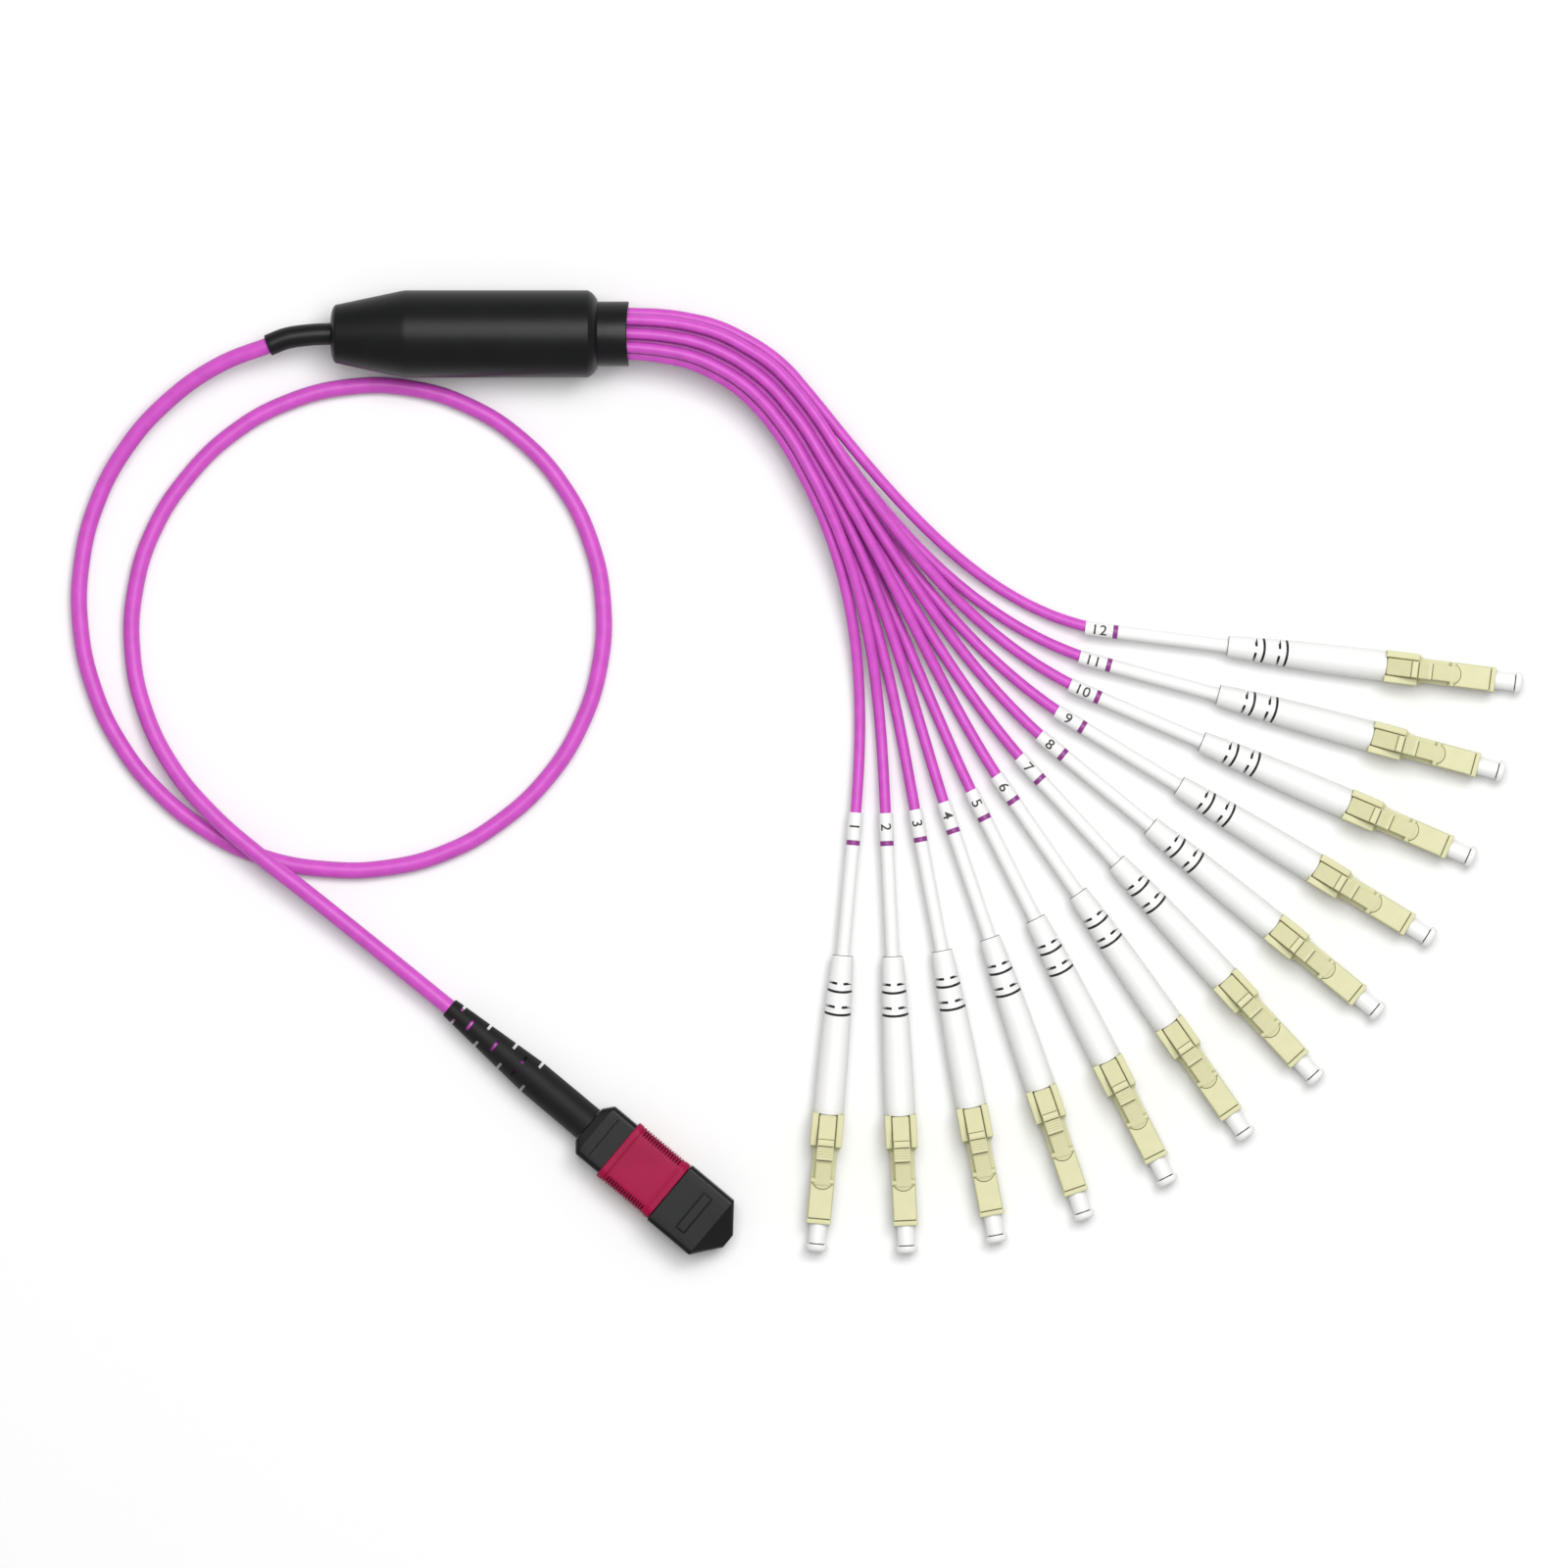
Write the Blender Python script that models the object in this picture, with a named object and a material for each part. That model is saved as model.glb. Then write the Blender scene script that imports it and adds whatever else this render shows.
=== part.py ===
"""Fibre breakout cable: one MPO plug on a round trunk, a fanout housing and twelve LC plugs.

Metres, +Z up. The cable lies on a level floor at Z = 0, laid out as for a product picture taken
from straight above: the fanout housing points along +X, the trunk makes one loop at -X and the
twelve legs bend round and spread into a fan. Every plug wears its dust cap.
"""
import math

import bmesh
import bpy
from mathutils import Matrix, Vector

# Clearances: between fitted pieces, round sliding ones, under the trunk, and how far two
# shapes of one piece reach into each other where they join
FIT_GAP = 0.0003
SLIDE_GAP = 0.00025
FLOOR_GAP = 0.00005
JOIN = 0.0003

# Cords
TRUNK_DIAMETER = 0.0030
LEG_DIAMETER = 0.0020
LEG_COUNT = 12
LEG_SPACING = 0.0005

# Fanout housing, collar and trunk sleeve
HOUSING_TRUNK_END = (-0.1023, 0.0799)
HOUSING_LENGTH = 0.04855
HOUSING_WALL = 0.00175
HOUSING_TAPER_LENGTH = 0.0134
HOUSING_TRUNK_END_DIAMETER = 0.0107
HOUSING_TRUNK_END_BULGE = 0.0011
HOUSING_FILLET = 0.0006
HOUSING_COLLAR_END_SLOPE = 0.0007
SLEEVE_DIAMETER = 0.0039
SLEEVE_SEAT_DEPTH = 0.0030
COLLAR_WALL = 0.00045
COLLAR_CLEARANCE = 0.00035
COLLAR_SEAT_DEPTH = 0.0030
COLLAR_REACH = 0.0055

# Fan of LC plugs
FAN_CENTRE = (-0.0032, 0.03125)
FAN_RADIUS = 0.0386
FAN_FIRST_ANGLE = math.radians(95.2)
FAN_STEP = math.radians(8.0)

# LC plug, lengths along its axis from the leg to the cap
MARKER_LENGTH = 0.0051
BAND_LENGTH = 0.00085
TAIL_LENGTH = 0.0202
TAIL_DIAMETER = 0.0024
LC_BOOT_LENGTH = 0.0288
LC_BOOT_REAR_DIAMETER = 0.00385
LC_BOOT_FRONT_DIAMETER = 0.00555
LC_STUB_DIAMETER = 0.0030
LC_STUB_LENGTH = 0.0030
LC_FERRULE_DIAMETER = 0.00125
LC_CAP_WALL = 0.000675
LC_CAP_INSERTION = 0.0035
LC_CAP_TIP_CLEARANCE = 0.0005
LC_CAP_REACH = 0.0038
LC_CAP_FLANGE_STEP = 0.00045
LC_CAP_FLANGE_LENGTH = 0.00125
LC_CAP_FLANGE_FILLET = 0.00025
LC_CAP_BORE_SPARE = 0.0010
LC_FRONT_LENGTH = 0.0140
LC_FRONT_WALL = 0.000425
LC_FRONT_TOP_WALL = 0.00025
LC_RAISED_INSET = 0.000175
LC_RAISED_LENGTH = 0.00635
LC_RAISED_HEIGHT = 0.00035
LC_LIP_LENGTH = 0.0010
LC_SHOULDER_LENGTH = 0.0006
LC_SHOULDER_STEP = 0.000425
LC_REAR_LENGTH = 0.0063
LC_REAR_STEP = 0.000625
LC_RAIL_WIDTH = 0.0010
LC_RAIL_HEIGHT = 0.0006
LC_LATCH_WIDTH = 0.0028
LC_LATCH_THICKNESS = 0.0007
LC_LATCH_ROOT = 0.0010
LC_LATCH_BEVEL = 0.0005
LC_LATCH_LENGTH = 0.00455
LC_LATCH_RISE = 0.0020
LC_CATCH_WIDTH = 0.0043
LC_CATCH_LENGTH = 0.0009
LC_CATCH_SETBACK = 0.00095
LC_TRIGGER_SETBACK = 0.0003
LC_TRIGGER_WIDTH = 0.0030
LC_TRIGGER_LENGTH = 0.0083
LC_TRIGGER_LEVEL = 0.0030
LC_TRIGGER_ROOT = 0.0016
LC_TRIGGER_GAP = 0.0003
LC_TRIGGER_THICKNESS = 0.0008

# MPO plug, lengths along its axis from the trunk to the cap
MPO_TAIL_END = (-0.0808, -0.0427)
MPO_ANGLE = math.radians(40.0)
MPO_BOOT_LENGTH = 0.0332
MPO_BOOT_REAR_DIAMETER = 0.0038
MPO_BOOT_TAPER_LENGTH = 0.0196
MPO_BOOT_MID_DIAMETER = 0.0067
MPO_BOOT_FRONT_DIAMETER = 0.0068
MPO_BOOT_CORE_DIAMETER = 0.0029
MPO_NOTCH_WIDTH = 0.0005
MPO_NOTCH_FIRST = 0.00214
MPO_NOTCH_STEP = 0.00583
MPO_SIDE_NOTCHES = 4
MPO_TOP_NOTCHES = 3
MPO_STUB_DIAMETER = 0.0044
MPO_STUB_LENGTH = 0.0030
MPO_HUB_SIDE_WALL = 0.0012
MPO_HUB_TOP_WALL = 0.0004
MPO_HUB_CHAMFER = 0.0016
MPO_HUB_LENGTH = 0.0066
MPO_CORE_WIDTH = 0.0112
MPO_CORE_HEIGHT = 0.0066
MPO_CORNER_RADIUS = 0.0014
MPO_COUPLING_LENGTH = 0.0122
MPO_COUPLING_WALL = 0.00037
MPO_NOSE_SIDE_STEP = 0.0007
MPO_NOSE_TOP_STEP = 0.0006
MPO_NOSE_LENGTH = 0.0064
MPO_KEY_WIDTH = 0.0028
MPO_KEY_HEIGHT = 0.0006
MPO_KEY_LENGTH = 0.0054
MPO_FERRULE_WIDTH = 0.0064
MPO_FERRULE_HEIGHT = 0.0025
MPO_FERRULE_REACH = 0.0020
MPO_POCKET_DEPTH = 0.0040
MPO_CAP_LENGTH = 0.0137
MPO_CAP_OVERHANG = 0.0002
MPO_CAP_PYRAMID_LENGTH = 0.0039
MPO_CAP_TIP_WIDTH = 0.0030
MPO_CAP_TIP_HEIGHT = 0.0016
MPO_CAP_TIP_RADIUS = 0.0005
MPO_CAP_SPARE_DEPTH = 0.0006
MPO_CAP_BAR_LENGTH = 0.0016
MPO_CAP_BAR_WIDTH = 0.0079
MPO_CAP_BAR_HEIGHT = 0.0005
MPO_CAP_BAR_PLACE = 0.0056

# How finely round shapes and cords are faceted
TURN_STEPS = 16
SMALL_TURN_STEPS = 12
CORNER_STEPS = 3
LC_BOOT_STEPS = 4
CORD_BEVEL_RESOLUTION = 2
SLEEVE_POINTS = 6
TRUNK_POINTS = 66
LEG_POINTS = 25
SMOOTH_ANGLE = math.radians(35.0)

# LC sizes that follow from the ferrule outwards, each fitting round the one before
LC_CAP_BORE = LC_FERRULE_DIAMETER + 2 * FIT_GAP
LC_CAP_STEM = LC_CAP_BORE + 2 * LC_CAP_WALL
LC_SOCKET = LC_CAP_STEM + 2 * SLIDE_GAP
LC_FRONT_WIDTH = LC_SOCKET + 2 * LC_FRONT_WALL
LC_NECK_TOP = LC_SOCKET / 2 + LC_FRONT_TOP_WALL
LC_RAISED_TOP = LC_NECK_TOP + LC_RAISED_HEIGHT
LC_REAR_WIDTH = LC_FRONT_WIDTH + 2 * LC_REAR_STEP
LC_LATCH_TAIL_TOP = LC_NECK_TOP + LC_LATCH_RISE
LC_TRIGGER_TOP = LC_LATCH_TAIL_TOP + LC_TRIGGER_GAP + LC_TRIGGER_THICKNESS
LC_BODY_START = MARKER_LENGTH + BAND_LENGTH + TAIL_LENGTH + LC_BOOT_LENGTH
LC_FRONT = LC_BODY_START + LC_REAR_LENGTH + LC_FRONT_LENGTH

# MPO sizes that follow from the core outwards, and the places of its pieces along the axis
MPO_STUB_BORE = MPO_STUB_DIAMETER + 2 * FIT_GAP
MPO_NOSE_WIDTH = MPO_CORE_WIDTH - 2 * MPO_NOSE_SIDE_STEP
MPO_NOSE_HEIGHT = MPO_CORE_HEIGHT - 2 * MPO_NOSE_TOP_STEP
MPO_COUPLING_BORE = (MPO_CORE_WIDTH + 2 * SLIDE_GAP, MPO_CORE_HEIGHT + 2 * SLIDE_GAP)
MPO_COUPLING_SIZE = (MPO_COUPLING_BORE[0] + 2 * MPO_COUPLING_WALL,
                     MPO_COUPLING_BORE[1] + 2 * MPO_COUPLING_WALL)
MPO_CAP_WIDTH = MPO_COUPLING_SIZE[0] + 2 * MPO_CAP_OVERHANG
MPO_CAP_HEIGHT = MPO_COUPLING_SIZE[1] + 2 * MPO_CAP_OVERHANG
MPO_COUPLING_START = MPO_BOOT_LENGTH + MPO_HUB_LENGTH + FIT_GAP
MPO_NOSE_START = MPO_COUPLING_START + MPO_COUPLING_LENGTH
MPO_NOSE_END = MPO_NOSE_START + MPO_NOSE_LENGTH
MPO_FERRULE_END = MPO_NOSE_END + MPO_FERRULE_REACH

# Trunk route after the sleeve, chosen by hand along the photographed loop: X, Y and height.
# The strand that runs to the MPO plug passes over the first one in a long low hump.
FLOOR_TRUNK = TRUNK_DIAMETER / 2 + FLOOR_GAP
TRUNK_ROUTE = [
    (-0.1227, 0.0743, 0.0062), (-0.1343, 0.0657, 0.0040), (-0.1429, 0.0541, 0.0022),
    (-0.1475, 0.0407, FLOOR_TRUNK), (-0.1481, 0.0266, FLOOR_TRUNK), (-0.1449, 0.0133, FLOOR_TRUNK),
    (-0.1384, 0.0017, FLOOR_TRUNK), (-0.1293, -0.0075, FLOOR_TRUNK), (-0.1182, -0.0141, FLOOR_TRUNK),
    (-0.1070, -0.0171, FLOOR_TRUNK), (-0.0952, -0.0176, FLOOR_TRUNK), (-0.0839, -0.0154, FLOOR_TRUNK),
    (-0.0738, -0.0104, FLOOR_TRUNK), (-0.0652, -0.0034, FLOOR_TRUNK), (-0.0586, 0.0054, FLOOR_TRUNK),
    (-0.0543, 0.0157, FLOOR_TRUNK), (-0.0527, 0.0266, FLOOR_TRUNK), (-0.0538, 0.0377, FLOOR_TRUNK),
    (-0.0577, 0.0483, FLOOR_TRUNK), (-0.0643, 0.0575, FLOOR_TRUNK), (-0.0732, 0.0648, FLOOR_TRUNK),
    (-0.0838, 0.0693, FLOOR_TRUNK), (-0.0952, 0.0707, FLOOR_TRUNK), (-0.1065, 0.0689, FLOOR_TRUNK),
    (-0.1170, 0.0643, FLOOR_TRUNK), (-0.1257, 0.0571, FLOOR_TRUNK), (-0.1327, 0.0482, FLOOR_TRUNK),
    (-0.1371, 0.0379, FLOOR_TRUNK), (-0.1388, 0.0266, FLOOR_TRUNK), (-0.1375, 0.0153, 0.0019),
    (-0.1334, 0.0046, 0.0030), (-0.1266, -0.0048, 0.0043), (-0.1182, -0.0127, 0.0050),
    (-0.1079, -0.0209, 0.0051), (-0.0945, -0.0316, 0.0044),
]

# Sleeve route from its seat in the housing: X and Y from the housing's trunk end, height
# from the housing's axis
SLEEVE_ROUTE = [(0.0, 0.0, 0.0), (-0.0040, -0.0002, 0.0), (-0.0080, -0.0008, -0.0001),
                (-0.0114, -0.0021, -0.0003)]

# Centre line of the twelve-leg bundle after the collar: X, Y and height of its middle, and how
# far the legs have spread sideways
BUNDLE_ROUTE = [(-0.0413, 0.0794, 0.0078, 1.05), (-0.0341, 0.0778, 0.0075, 1.10),
                (-0.0288, 0.0752, 0.0070, 1.15), (-0.0232, 0.0713, 0.0063, 1.18),
                (-0.0171, 0.0642, 0.0057, 1.20)]

# Place of each leg in the bundle: half pitches across it and row, counted from the top
LEG_SLOTS = [(-3, 1), (-2, 0), (-2, 2), (-1, 1), (-1, 3), (0, 0), (0, 2), (1, 1), (1, 3),
             (2, 0), (2, 2), (3, 1)]
BUNDLE_ROWS = 4
LEG_PITCH = LEG_DIAMETER + LEG_SPACING

# Free stretch of each leg, from the bundle to its ray of the fan: the way it leaves the bundle,
# how strongly its ends pull the curve, and the shares of the way where it sinks and rises
LEG_EXIT_ANGLE = math.radians(57.0)
LAST_LEG_EXIT_ANGLE = math.radians(51.5)
LEG_START_PULL = 1.22
LEG_END_PULL = 0.95
LEG_LOW_HEIGHT = 0.0013
LEG_FLAT_FROM = 0.05
LEG_FLAT_TO = 0.80
LEG_RISE_FROM = 0.62


def leg_offset(slot):
    """Place of a leg within the bundle: across it and above its middle."""
    half_pitches, row = slot
    middle_row = (BUNDLE_ROWS - 1) / 2
    return half_pitches * LEG_PITCH / 2, (middle_row - row) * LEG_PITCH * math.sqrt(3) / 2


# Collar round the bundle, the housing round the collar, and the height of each piece's axis:
# each rests on the floor with its widest part
BUNDLE_RADIUS = max(math.hypot(*leg_offset(slot)) for slot in LEG_SLOTS) + LEG_DIAMETER / 2
COLLAR_INNER = BUNDLE_RADIUS + COLLAR_CLEARANCE
COLLAR_OUTER = COLLAR_INNER + COLLAR_WALL
COLLAR_SEAT = COLLAR_OUTER + FIT_GAP
HOUSING_RADIUS = COLLAR_SEAT + HOUSING_WALL
HOUSING_AXIS = HOUSING_RADIUS
LC_AXIS = LC_REAR_WIDTH / 2
MPO_AXIS = MPO_CAP_HEIGHT / 2


def clear_scene():
    for existing in list(bpy.data.objects):
        bpy.data.objects.remove(existing, do_unlink=True)


def principled(name, colour, roughness, metallic=0.0):
    material = bpy.data.materials.new(name)
    material.use_nodes = True
    shader = material.node_tree.nodes["Principled BSDF"]
    shader.inputs["Base Color"].default_value = (*colour, 1.0)
    shader.inputs["Roughness"].default_value = roughness
    shader.inputs["Metallic"].default_value = metallic
    return material


# Basic shapes, each with its own length along local +X


def finished_mesh(bm, name):
    bmesh.ops.remove_doubles(bm, verts=bm.verts, dist=1e-7)
    bmesh.ops.recalc_face_normals(bm, faces=bm.faces)
    mesh = bpy.data.meshes.new(name)
    bm.to_mesh(mesh)
    bm.free()
    return mesh


def turned(name, profile, steps):
    """Turn an open (x, radius) profile that starts and ends on the X axis, or a closed one."""
    bm = bmesh.new()
    verts = [bm.verts.new((x, 0.0, radius)) for x, radius in profile]
    edges = [bm.edges.new(pair) for pair in zip(verts, verts[1:])]
    if profile[0][1] > 0.0:
        edges.append(bm.edges.new((verts[-1], verts[0])))
    bmesh.ops.spin(bm, geom=verts + edges, cent=(0, 0, 0), axis=(1, 0, 0), dvec=(0, 0, 0),
                   angle=math.tau, steps=steps, use_merge=True, use_duplicate=False)
    return finished_mesh(bm, name)


def rod(name, start, end, diameter, steps):
    radius = diameter / 2
    return turned(name, [(start, 0.0), (start, radius), (end, radius), (end, 0.0)], steps)


def box(name, x_range, y_range, z_range):
    bm = bmesh.new()
    corners = [bm.verts.new((x, y, z)) for x in x_range for y in y_range for z in z_range]
    bmesh.ops.convex_hull(bm, input=corners)
    return finished_mesh(bm, name)


def rounded_ring(x, width, height, radius):
    """Corner arcs of a rounded rectangle across the X axis."""
    points = []
    for quarter in range(4):
        side = 1 if quarter in (0, 3) else -1
        level = 1 if quarter in (0, 1) else -1
        for step in range(CORNER_STEPS + 1):
            angle = math.pi / 2 * (quarter + step / CORNER_STEPS)
            points.append((x, side * (width / 2 - radius) + radius * math.cos(angle),
                           level * (height / 2 - radius) + radius * math.sin(angle)))
    return points


def lofted(name, sections):
    """Skin rounded rectangles given as (x, width, height, corner radius)."""
    bm = bmesh.new()
    rings = [[bm.verts.new(point) for point in rounded_ring(*section)] for section in sections]
    for ring, following in zip(rings, rings[1:]):
        for index, corner in enumerate(ring):
            after = (index + 1) % len(ring)
            bm.faces.new((corner, ring[after], following[after], following[index]))
    bm.faces.new(rings[0])
    bm.faces.new(rings[-1])
    return finished_mesh(bm, name)


def side_plate(name, outline, width):
    """Extrude an (x, z) outline across Y, centred on the X axis."""
    bm = bmesh.new()
    face = bm.faces.new([bm.verts.new((x, -width / 2, z)) for x, z in outline])
    grown = bmesh.ops.extrude_face_region(bm, geom=[face])
    moved = [item for item in grown["geom"] if isinstance(item, bmesh.types.BMVert)]
    bmesh.ops.translate(bm, verts=moved, vec=(0, width, 0))
    return finished_mesh(bm, name)


def combined(name, base, added=(), cut=()):
    """Boolean union and difference of meshes, evaluated into one new mesh."""
    body = bpy.data.objects.new(name, base)
    bpy.context.collection.objects.link(body)
    helpers = []
    for operation, meshes in (("UNION", added), ("DIFFERENCE", cut)):
        for mesh in meshes:
            helper = bpy.data.objects.new(name + "_helper", mesh)
            helper.display_type = "WIRE"
            helper.hide_render = True
            bpy.context.collection.objects.link(helper)
            modifier = body.modifiers.new(operation.lower(), "BOOLEAN")
            modifier.operation = operation
            modifier.solver = "EXACT"
            modifier.object = helper
            helpers.append(helper)
    evaluated = body.evaluated_get(bpy.context.evaluated_depsgraph_get())
    result = bpy.data.meshes.new_from_object(evaluated)
    result.name = name
    for leftover in [body, *helpers]:
        bpy.data.objects.remove(leftover, do_unlink=True)
    return result


def place(name, mesh, material, parent=None):
    """One named solid, with round stretches shaded smooth."""
    if not mesh.materials:
        mesh.materials.append(material)
        mesh.shade_smooth()
        mesh.set_sharp_from_angle(angle=SMOOTH_ANGLE)
    item = bpy.data.objects.new(name, mesh)
    item.parent = parent
    bpy.context.collection.objects.link(item)
    return item


def frame(name, location, angle=0.0):
    """An empty whose +X is a plug's or housing's axis, turned clockwise seen from above."""
    empty = bpy.data.objects.new(name, None)
    empty.location = location
    empty.rotation_euler = (0.0, 0.0, -angle)
    bpy.context.collection.objects.link(empty)
    return empty


# Cord routes


def smooth_route(points, count):
    """Read evenly spaced points from a Catmull-Rom curve through the given ones."""
    knots = [Vector(point) for point in points]
    knots = [2 * knots[0] - knots[1], *knots, 2 * knots[-1] - knots[-2]]
    samples_each = 24
    dense = []
    for before, start, end, after in zip(knots, knots[1:], knots[2:], knots[3:]):
        for step in range(samples_each):
            t = step / samples_each
            dense.append(0.5 * (2 * start + (end - before) * t
                                + (2 * before - 5 * start + 4 * end - after) * t ** 2
                                + (3 * start - before - 3 * end + after) * t ** 3))
    dense.append(knots[-2])
    travelled = [0.0]
    for here, there in zip(dense, dense[1:]):
        travelled.append(travelled[-1] + (there - here).length)
    route = []
    index = 0
    for number in range(count):
        target = travelled[-1] * number / (count - 1)
        while index < len(dense) - 2 and travelled[index + 1] < target:
            index += 1
        share = (target - travelled[index]) / (travelled[index + 1] - travelled[index])
        route.append(dense[index].lerp(dense[index + 1], min(share, 1.0)))
    return route


def cord(name, route, diameter, material):
    """A round cord: a poly curve with a bevel and filled ends."""
    curve = bpy.data.curves.new(name, "CURVE")
    curve.dimensions = "3D"
    curve.bevel_depth = diameter / 2
    curve.bevel_resolution = CORD_BEVEL_RESOLUTION
    curve.use_fill_caps = True
    spline = curve.splines.new("POLY")
    spline.points.add(len(route) - 1)
    for point, place_at in zip(spline.points, route):
        point.co = (*place_at, 1.0)
    curve.materials.append(material)
    item = bpy.data.objects.new(name, curve)
    bpy.context.collection.objects.link(item)
    return item


# Fanout housing, with a seat for the sleeve at one end and for the collar at the other


def quarter_arc(centre, x_reach, radius_reach, first_quarter):
    """Profile points of a quarter ellipse, rising from its start or falling to its end."""
    points = []
    for step in range(CORNER_STEPS + 1):
        angle = math.pi / 2 * step / CORNER_STEPS
        if first_quarter:
            points.append((centre[0] - x_reach * math.cos(angle),
                           centre[1] + radius_reach * math.sin(angle)))
        else:
            points.append((centre[0] + x_reach * math.sin(angle),
                           centre[1] + radius_reach * math.cos(angle)))
    return points


def sleeve_points():
    seat = SLEEVE_SEAT_DEPTH - FIT_GAP
    return [Vector((seat, 0.0, 0.0)), *[Vector(point) for point in SLEEVE_ROUTE]]


def build_fanout(origin, black, collar_black):
    sleeve_seat = SLEEVE_DIAMETER / 2 + FIT_GAP
    bulge = HOUSING_TRUNK_END_BULGE
    slope_start = HOUSING_LENGTH - HOUSING_COLLAR_END_SLOPE
    collar_floor = HOUSING_LENGTH - COLLAR_SEAT_DEPTH
    profile = [
        (SLEEVE_SEAT_DEPTH, 0.0), (SLEEVE_SEAT_DEPTH, sleeve_seat),
        *quarter_arc((bulge, sleeve_seat), bulge, HOUSING_TRUNK_END_DIAMETER / 2 - sleeve_seat, True),
        (HOUSING_TAPER_LENGTH, HOUSING_RADIUS),
        *quarter_arc((slope_start - HOUSING_FILLET, HOUSING_RADIUS - HOUSING_FILLET),
                     HOUSING_FILLET, HOUSING_FILLET, False),
        (HOUSING_LENGTH, COLLAR_SEAT), (collar_floor, COLLAR_SEAT), (collar_floor, 0.0),
    ]
    place("fanout_housing", turned("fanout_housing", profile, 2 * TURN_STEPS), black, origin)
    start = collar_floor + FIT_GAP
    end = HOUSING_LENGTH + COLLAR_REACH
    ring = [(start, COLLAR_INNER), (start, COLLAR_OUTER), (end, COLLAR_OUTER),
            (end, COLLAR_INNER)]
    place("leg_collar", turned("leg_collar", ring, 2 * SMALL_TURN_STEPS), collar_black, origin)
    sleeve_route = smooth_route(sleeve_points(), SLEEVE_POINTS)
    sleeve = cord("trunk_sleeve", sleeve_route, SLEEVE_DIAMETER, collar_black)
    sleeve.parent = origin


# Trunk and legs


def build_trunk(housing, plug, violet):
    sleeve = sleeve_points()
    sleeve_end = housing @ sleeve[-1]
    leaving = (sleeve_end - housing @ sleeve[-2]).normalized()
    arriving = plug @ Vector((-FIT_GAP, 0.0, 0.0))
    points = [sleeve_end + leaving * FIT_GAP, *TRUNK_ROUTE, arriving]
    cord("trunk_cable", smooth_route(points, TRUNK_POINTS), TRUNK_DIAMETER, violet)


def fan_angle(number):
    return FAN_FIRST_ANGLE - FAN_STEP * (number - 1)


def fan_place(number, distance):
    """A point of a leg's straight stretch, at a distance from the middle of the fan."""
    angle = fan_angle(number)
    return Vector((FAN_CENTRE[0] + distance * math.cos(angle),
                   FAN_CENTRE[1] - distance * math.sin(angle), 0.0))


def eased(share):
    share = min(max(share, 0.0), 1.0)
    return share * share * (3.0 - 2.0 * share)


def leg_route(number):
    """Out of the collar in the bundle, then along a Hermite curve to the leg's ray of the fan."""
    across, above = leg_offset(LEG_SLOTS[number - 1])
    collar_start = HOUSING_TRUNK_END[0] + HOUSING_LENGTH - COLLAR_SEAT_DEPTH + FIT_GAP
    collar_end = HOUSING_TRUNK_END[0] + HOUSING_LENGTH + COLLAR_REACH
    level = HOUSING_TRUNK_END[1]
    spine = [(collar_start, level, HOUSING_AXIS, 1.0), (collar_end, level, HOUSING_AXIS, 1.0),
             *BUNDLE_ROUTE]
    points = []
    for index, (x, y, z, spread) in enumerate(spine):
        ahead = spine[min(index + 1, len(spine) - 1)]
        behind = spine[max(index - 1, 0)]
        sideways = Vector((behind[1] - ahead[1], ahead[0] - behind[0], 0.0)).normalized()
        points.append(Vector((x, y, z + above)) + sideways * across * spread)
    exit_angle = LAST_LEG_EXIT_ANGLE if number == LEG_COUNT else LEG_EXIT_ANGLE
    heading = Vector((math.cos(exit_angle), -math.sin(exit_angle), 0.0))
    start = points[-1]
    middle_height = spine[-1][2]
    end = fan_place(number, FAN_RADIUS + MARKER_LENGTH + BAND_LENGTH - FIT_GAP)
    ray = Vector((math.cos(fan_angle(number)), -math.sin(fan_angle(number)), 0.0))
    reach = (end - Vector((start.x, start.y, 0.0))).length
    hermite_steps = 10
    for step in range(1, hermite_steps + 1):
        t = step / hermite_steps
        plan = ((2 * t ** 3 - 3 * t ** 2 + 1) * Vector((start.x, start.y, 0.0))
                + (t ** 3 - 2 * t ** 2 + t) * heading * reach * LEG_START_PULL
                + (3 * t ** 2 - 2 * t ** 3) * end
                + (t ** 3 - t ** 2) * ray * reach * LEG_END_PULL)
        flat = eased((t - LEG_FLAT_FROM) / (LEG_FLAT_TO - LEG_FLAT_FROM))
        rise = eased((t - LEG_RISE_FROM) / (1.0 - LEG_RISE_FROM))
        height = (middle_height + above) * (1.0 - flat) + LEG_LOW_HEIGHT * flat
        plan.z = height + (LC_AXIS - LEG_LOW_HEIGHT) * rise
        points.append(plan)
    return smooth_route(points, LEG_POINTS)


# LC plug: the leg's tail and boot, the housing with latch and ferrule, and the dust cap


def lc_boot_mesh():
    """Tail tube, and a boot that swells quickly at first and then less and less."""
    tail_start = MARKER_LENGTH + BAND_LENGTH
    boot_start = tail_start + TAIL_LENGTH
    boot_end = LC_BODY_START - FIT_GAP
    stub_end = LC_BODY_START + LC_STUB_LENGTH
    swell = []
    for step in range(LC_BOOT_STEPS + 1):
        share = step / LC_BOOT_STEPS
        diameter = (LC_BOOT_REAR_DIAMETER
                    + (LC_BOOT_FRONT_DIAMETER - LC_BOOT_REAR_DIAMETER) * share * (2.0 - share))
        swell.append((boot_start + (boot_end - boot_start) * share, diameter / 2))
    profile = [
        (tail_start, 0.0), (tail_start, TAIL_DIAMETER / 2), (boot_start, TAIL_DIAMETER / 2),
        *swell, (boot_end, LC_STUB_DIAMETER / 2), (stub_end, LC_STUB_DIAMETER / 2),
        (stub_end, 0.0),
    ]
    return turned("lc_boot", profile, SMALL_TURN_STEPS)


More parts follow.
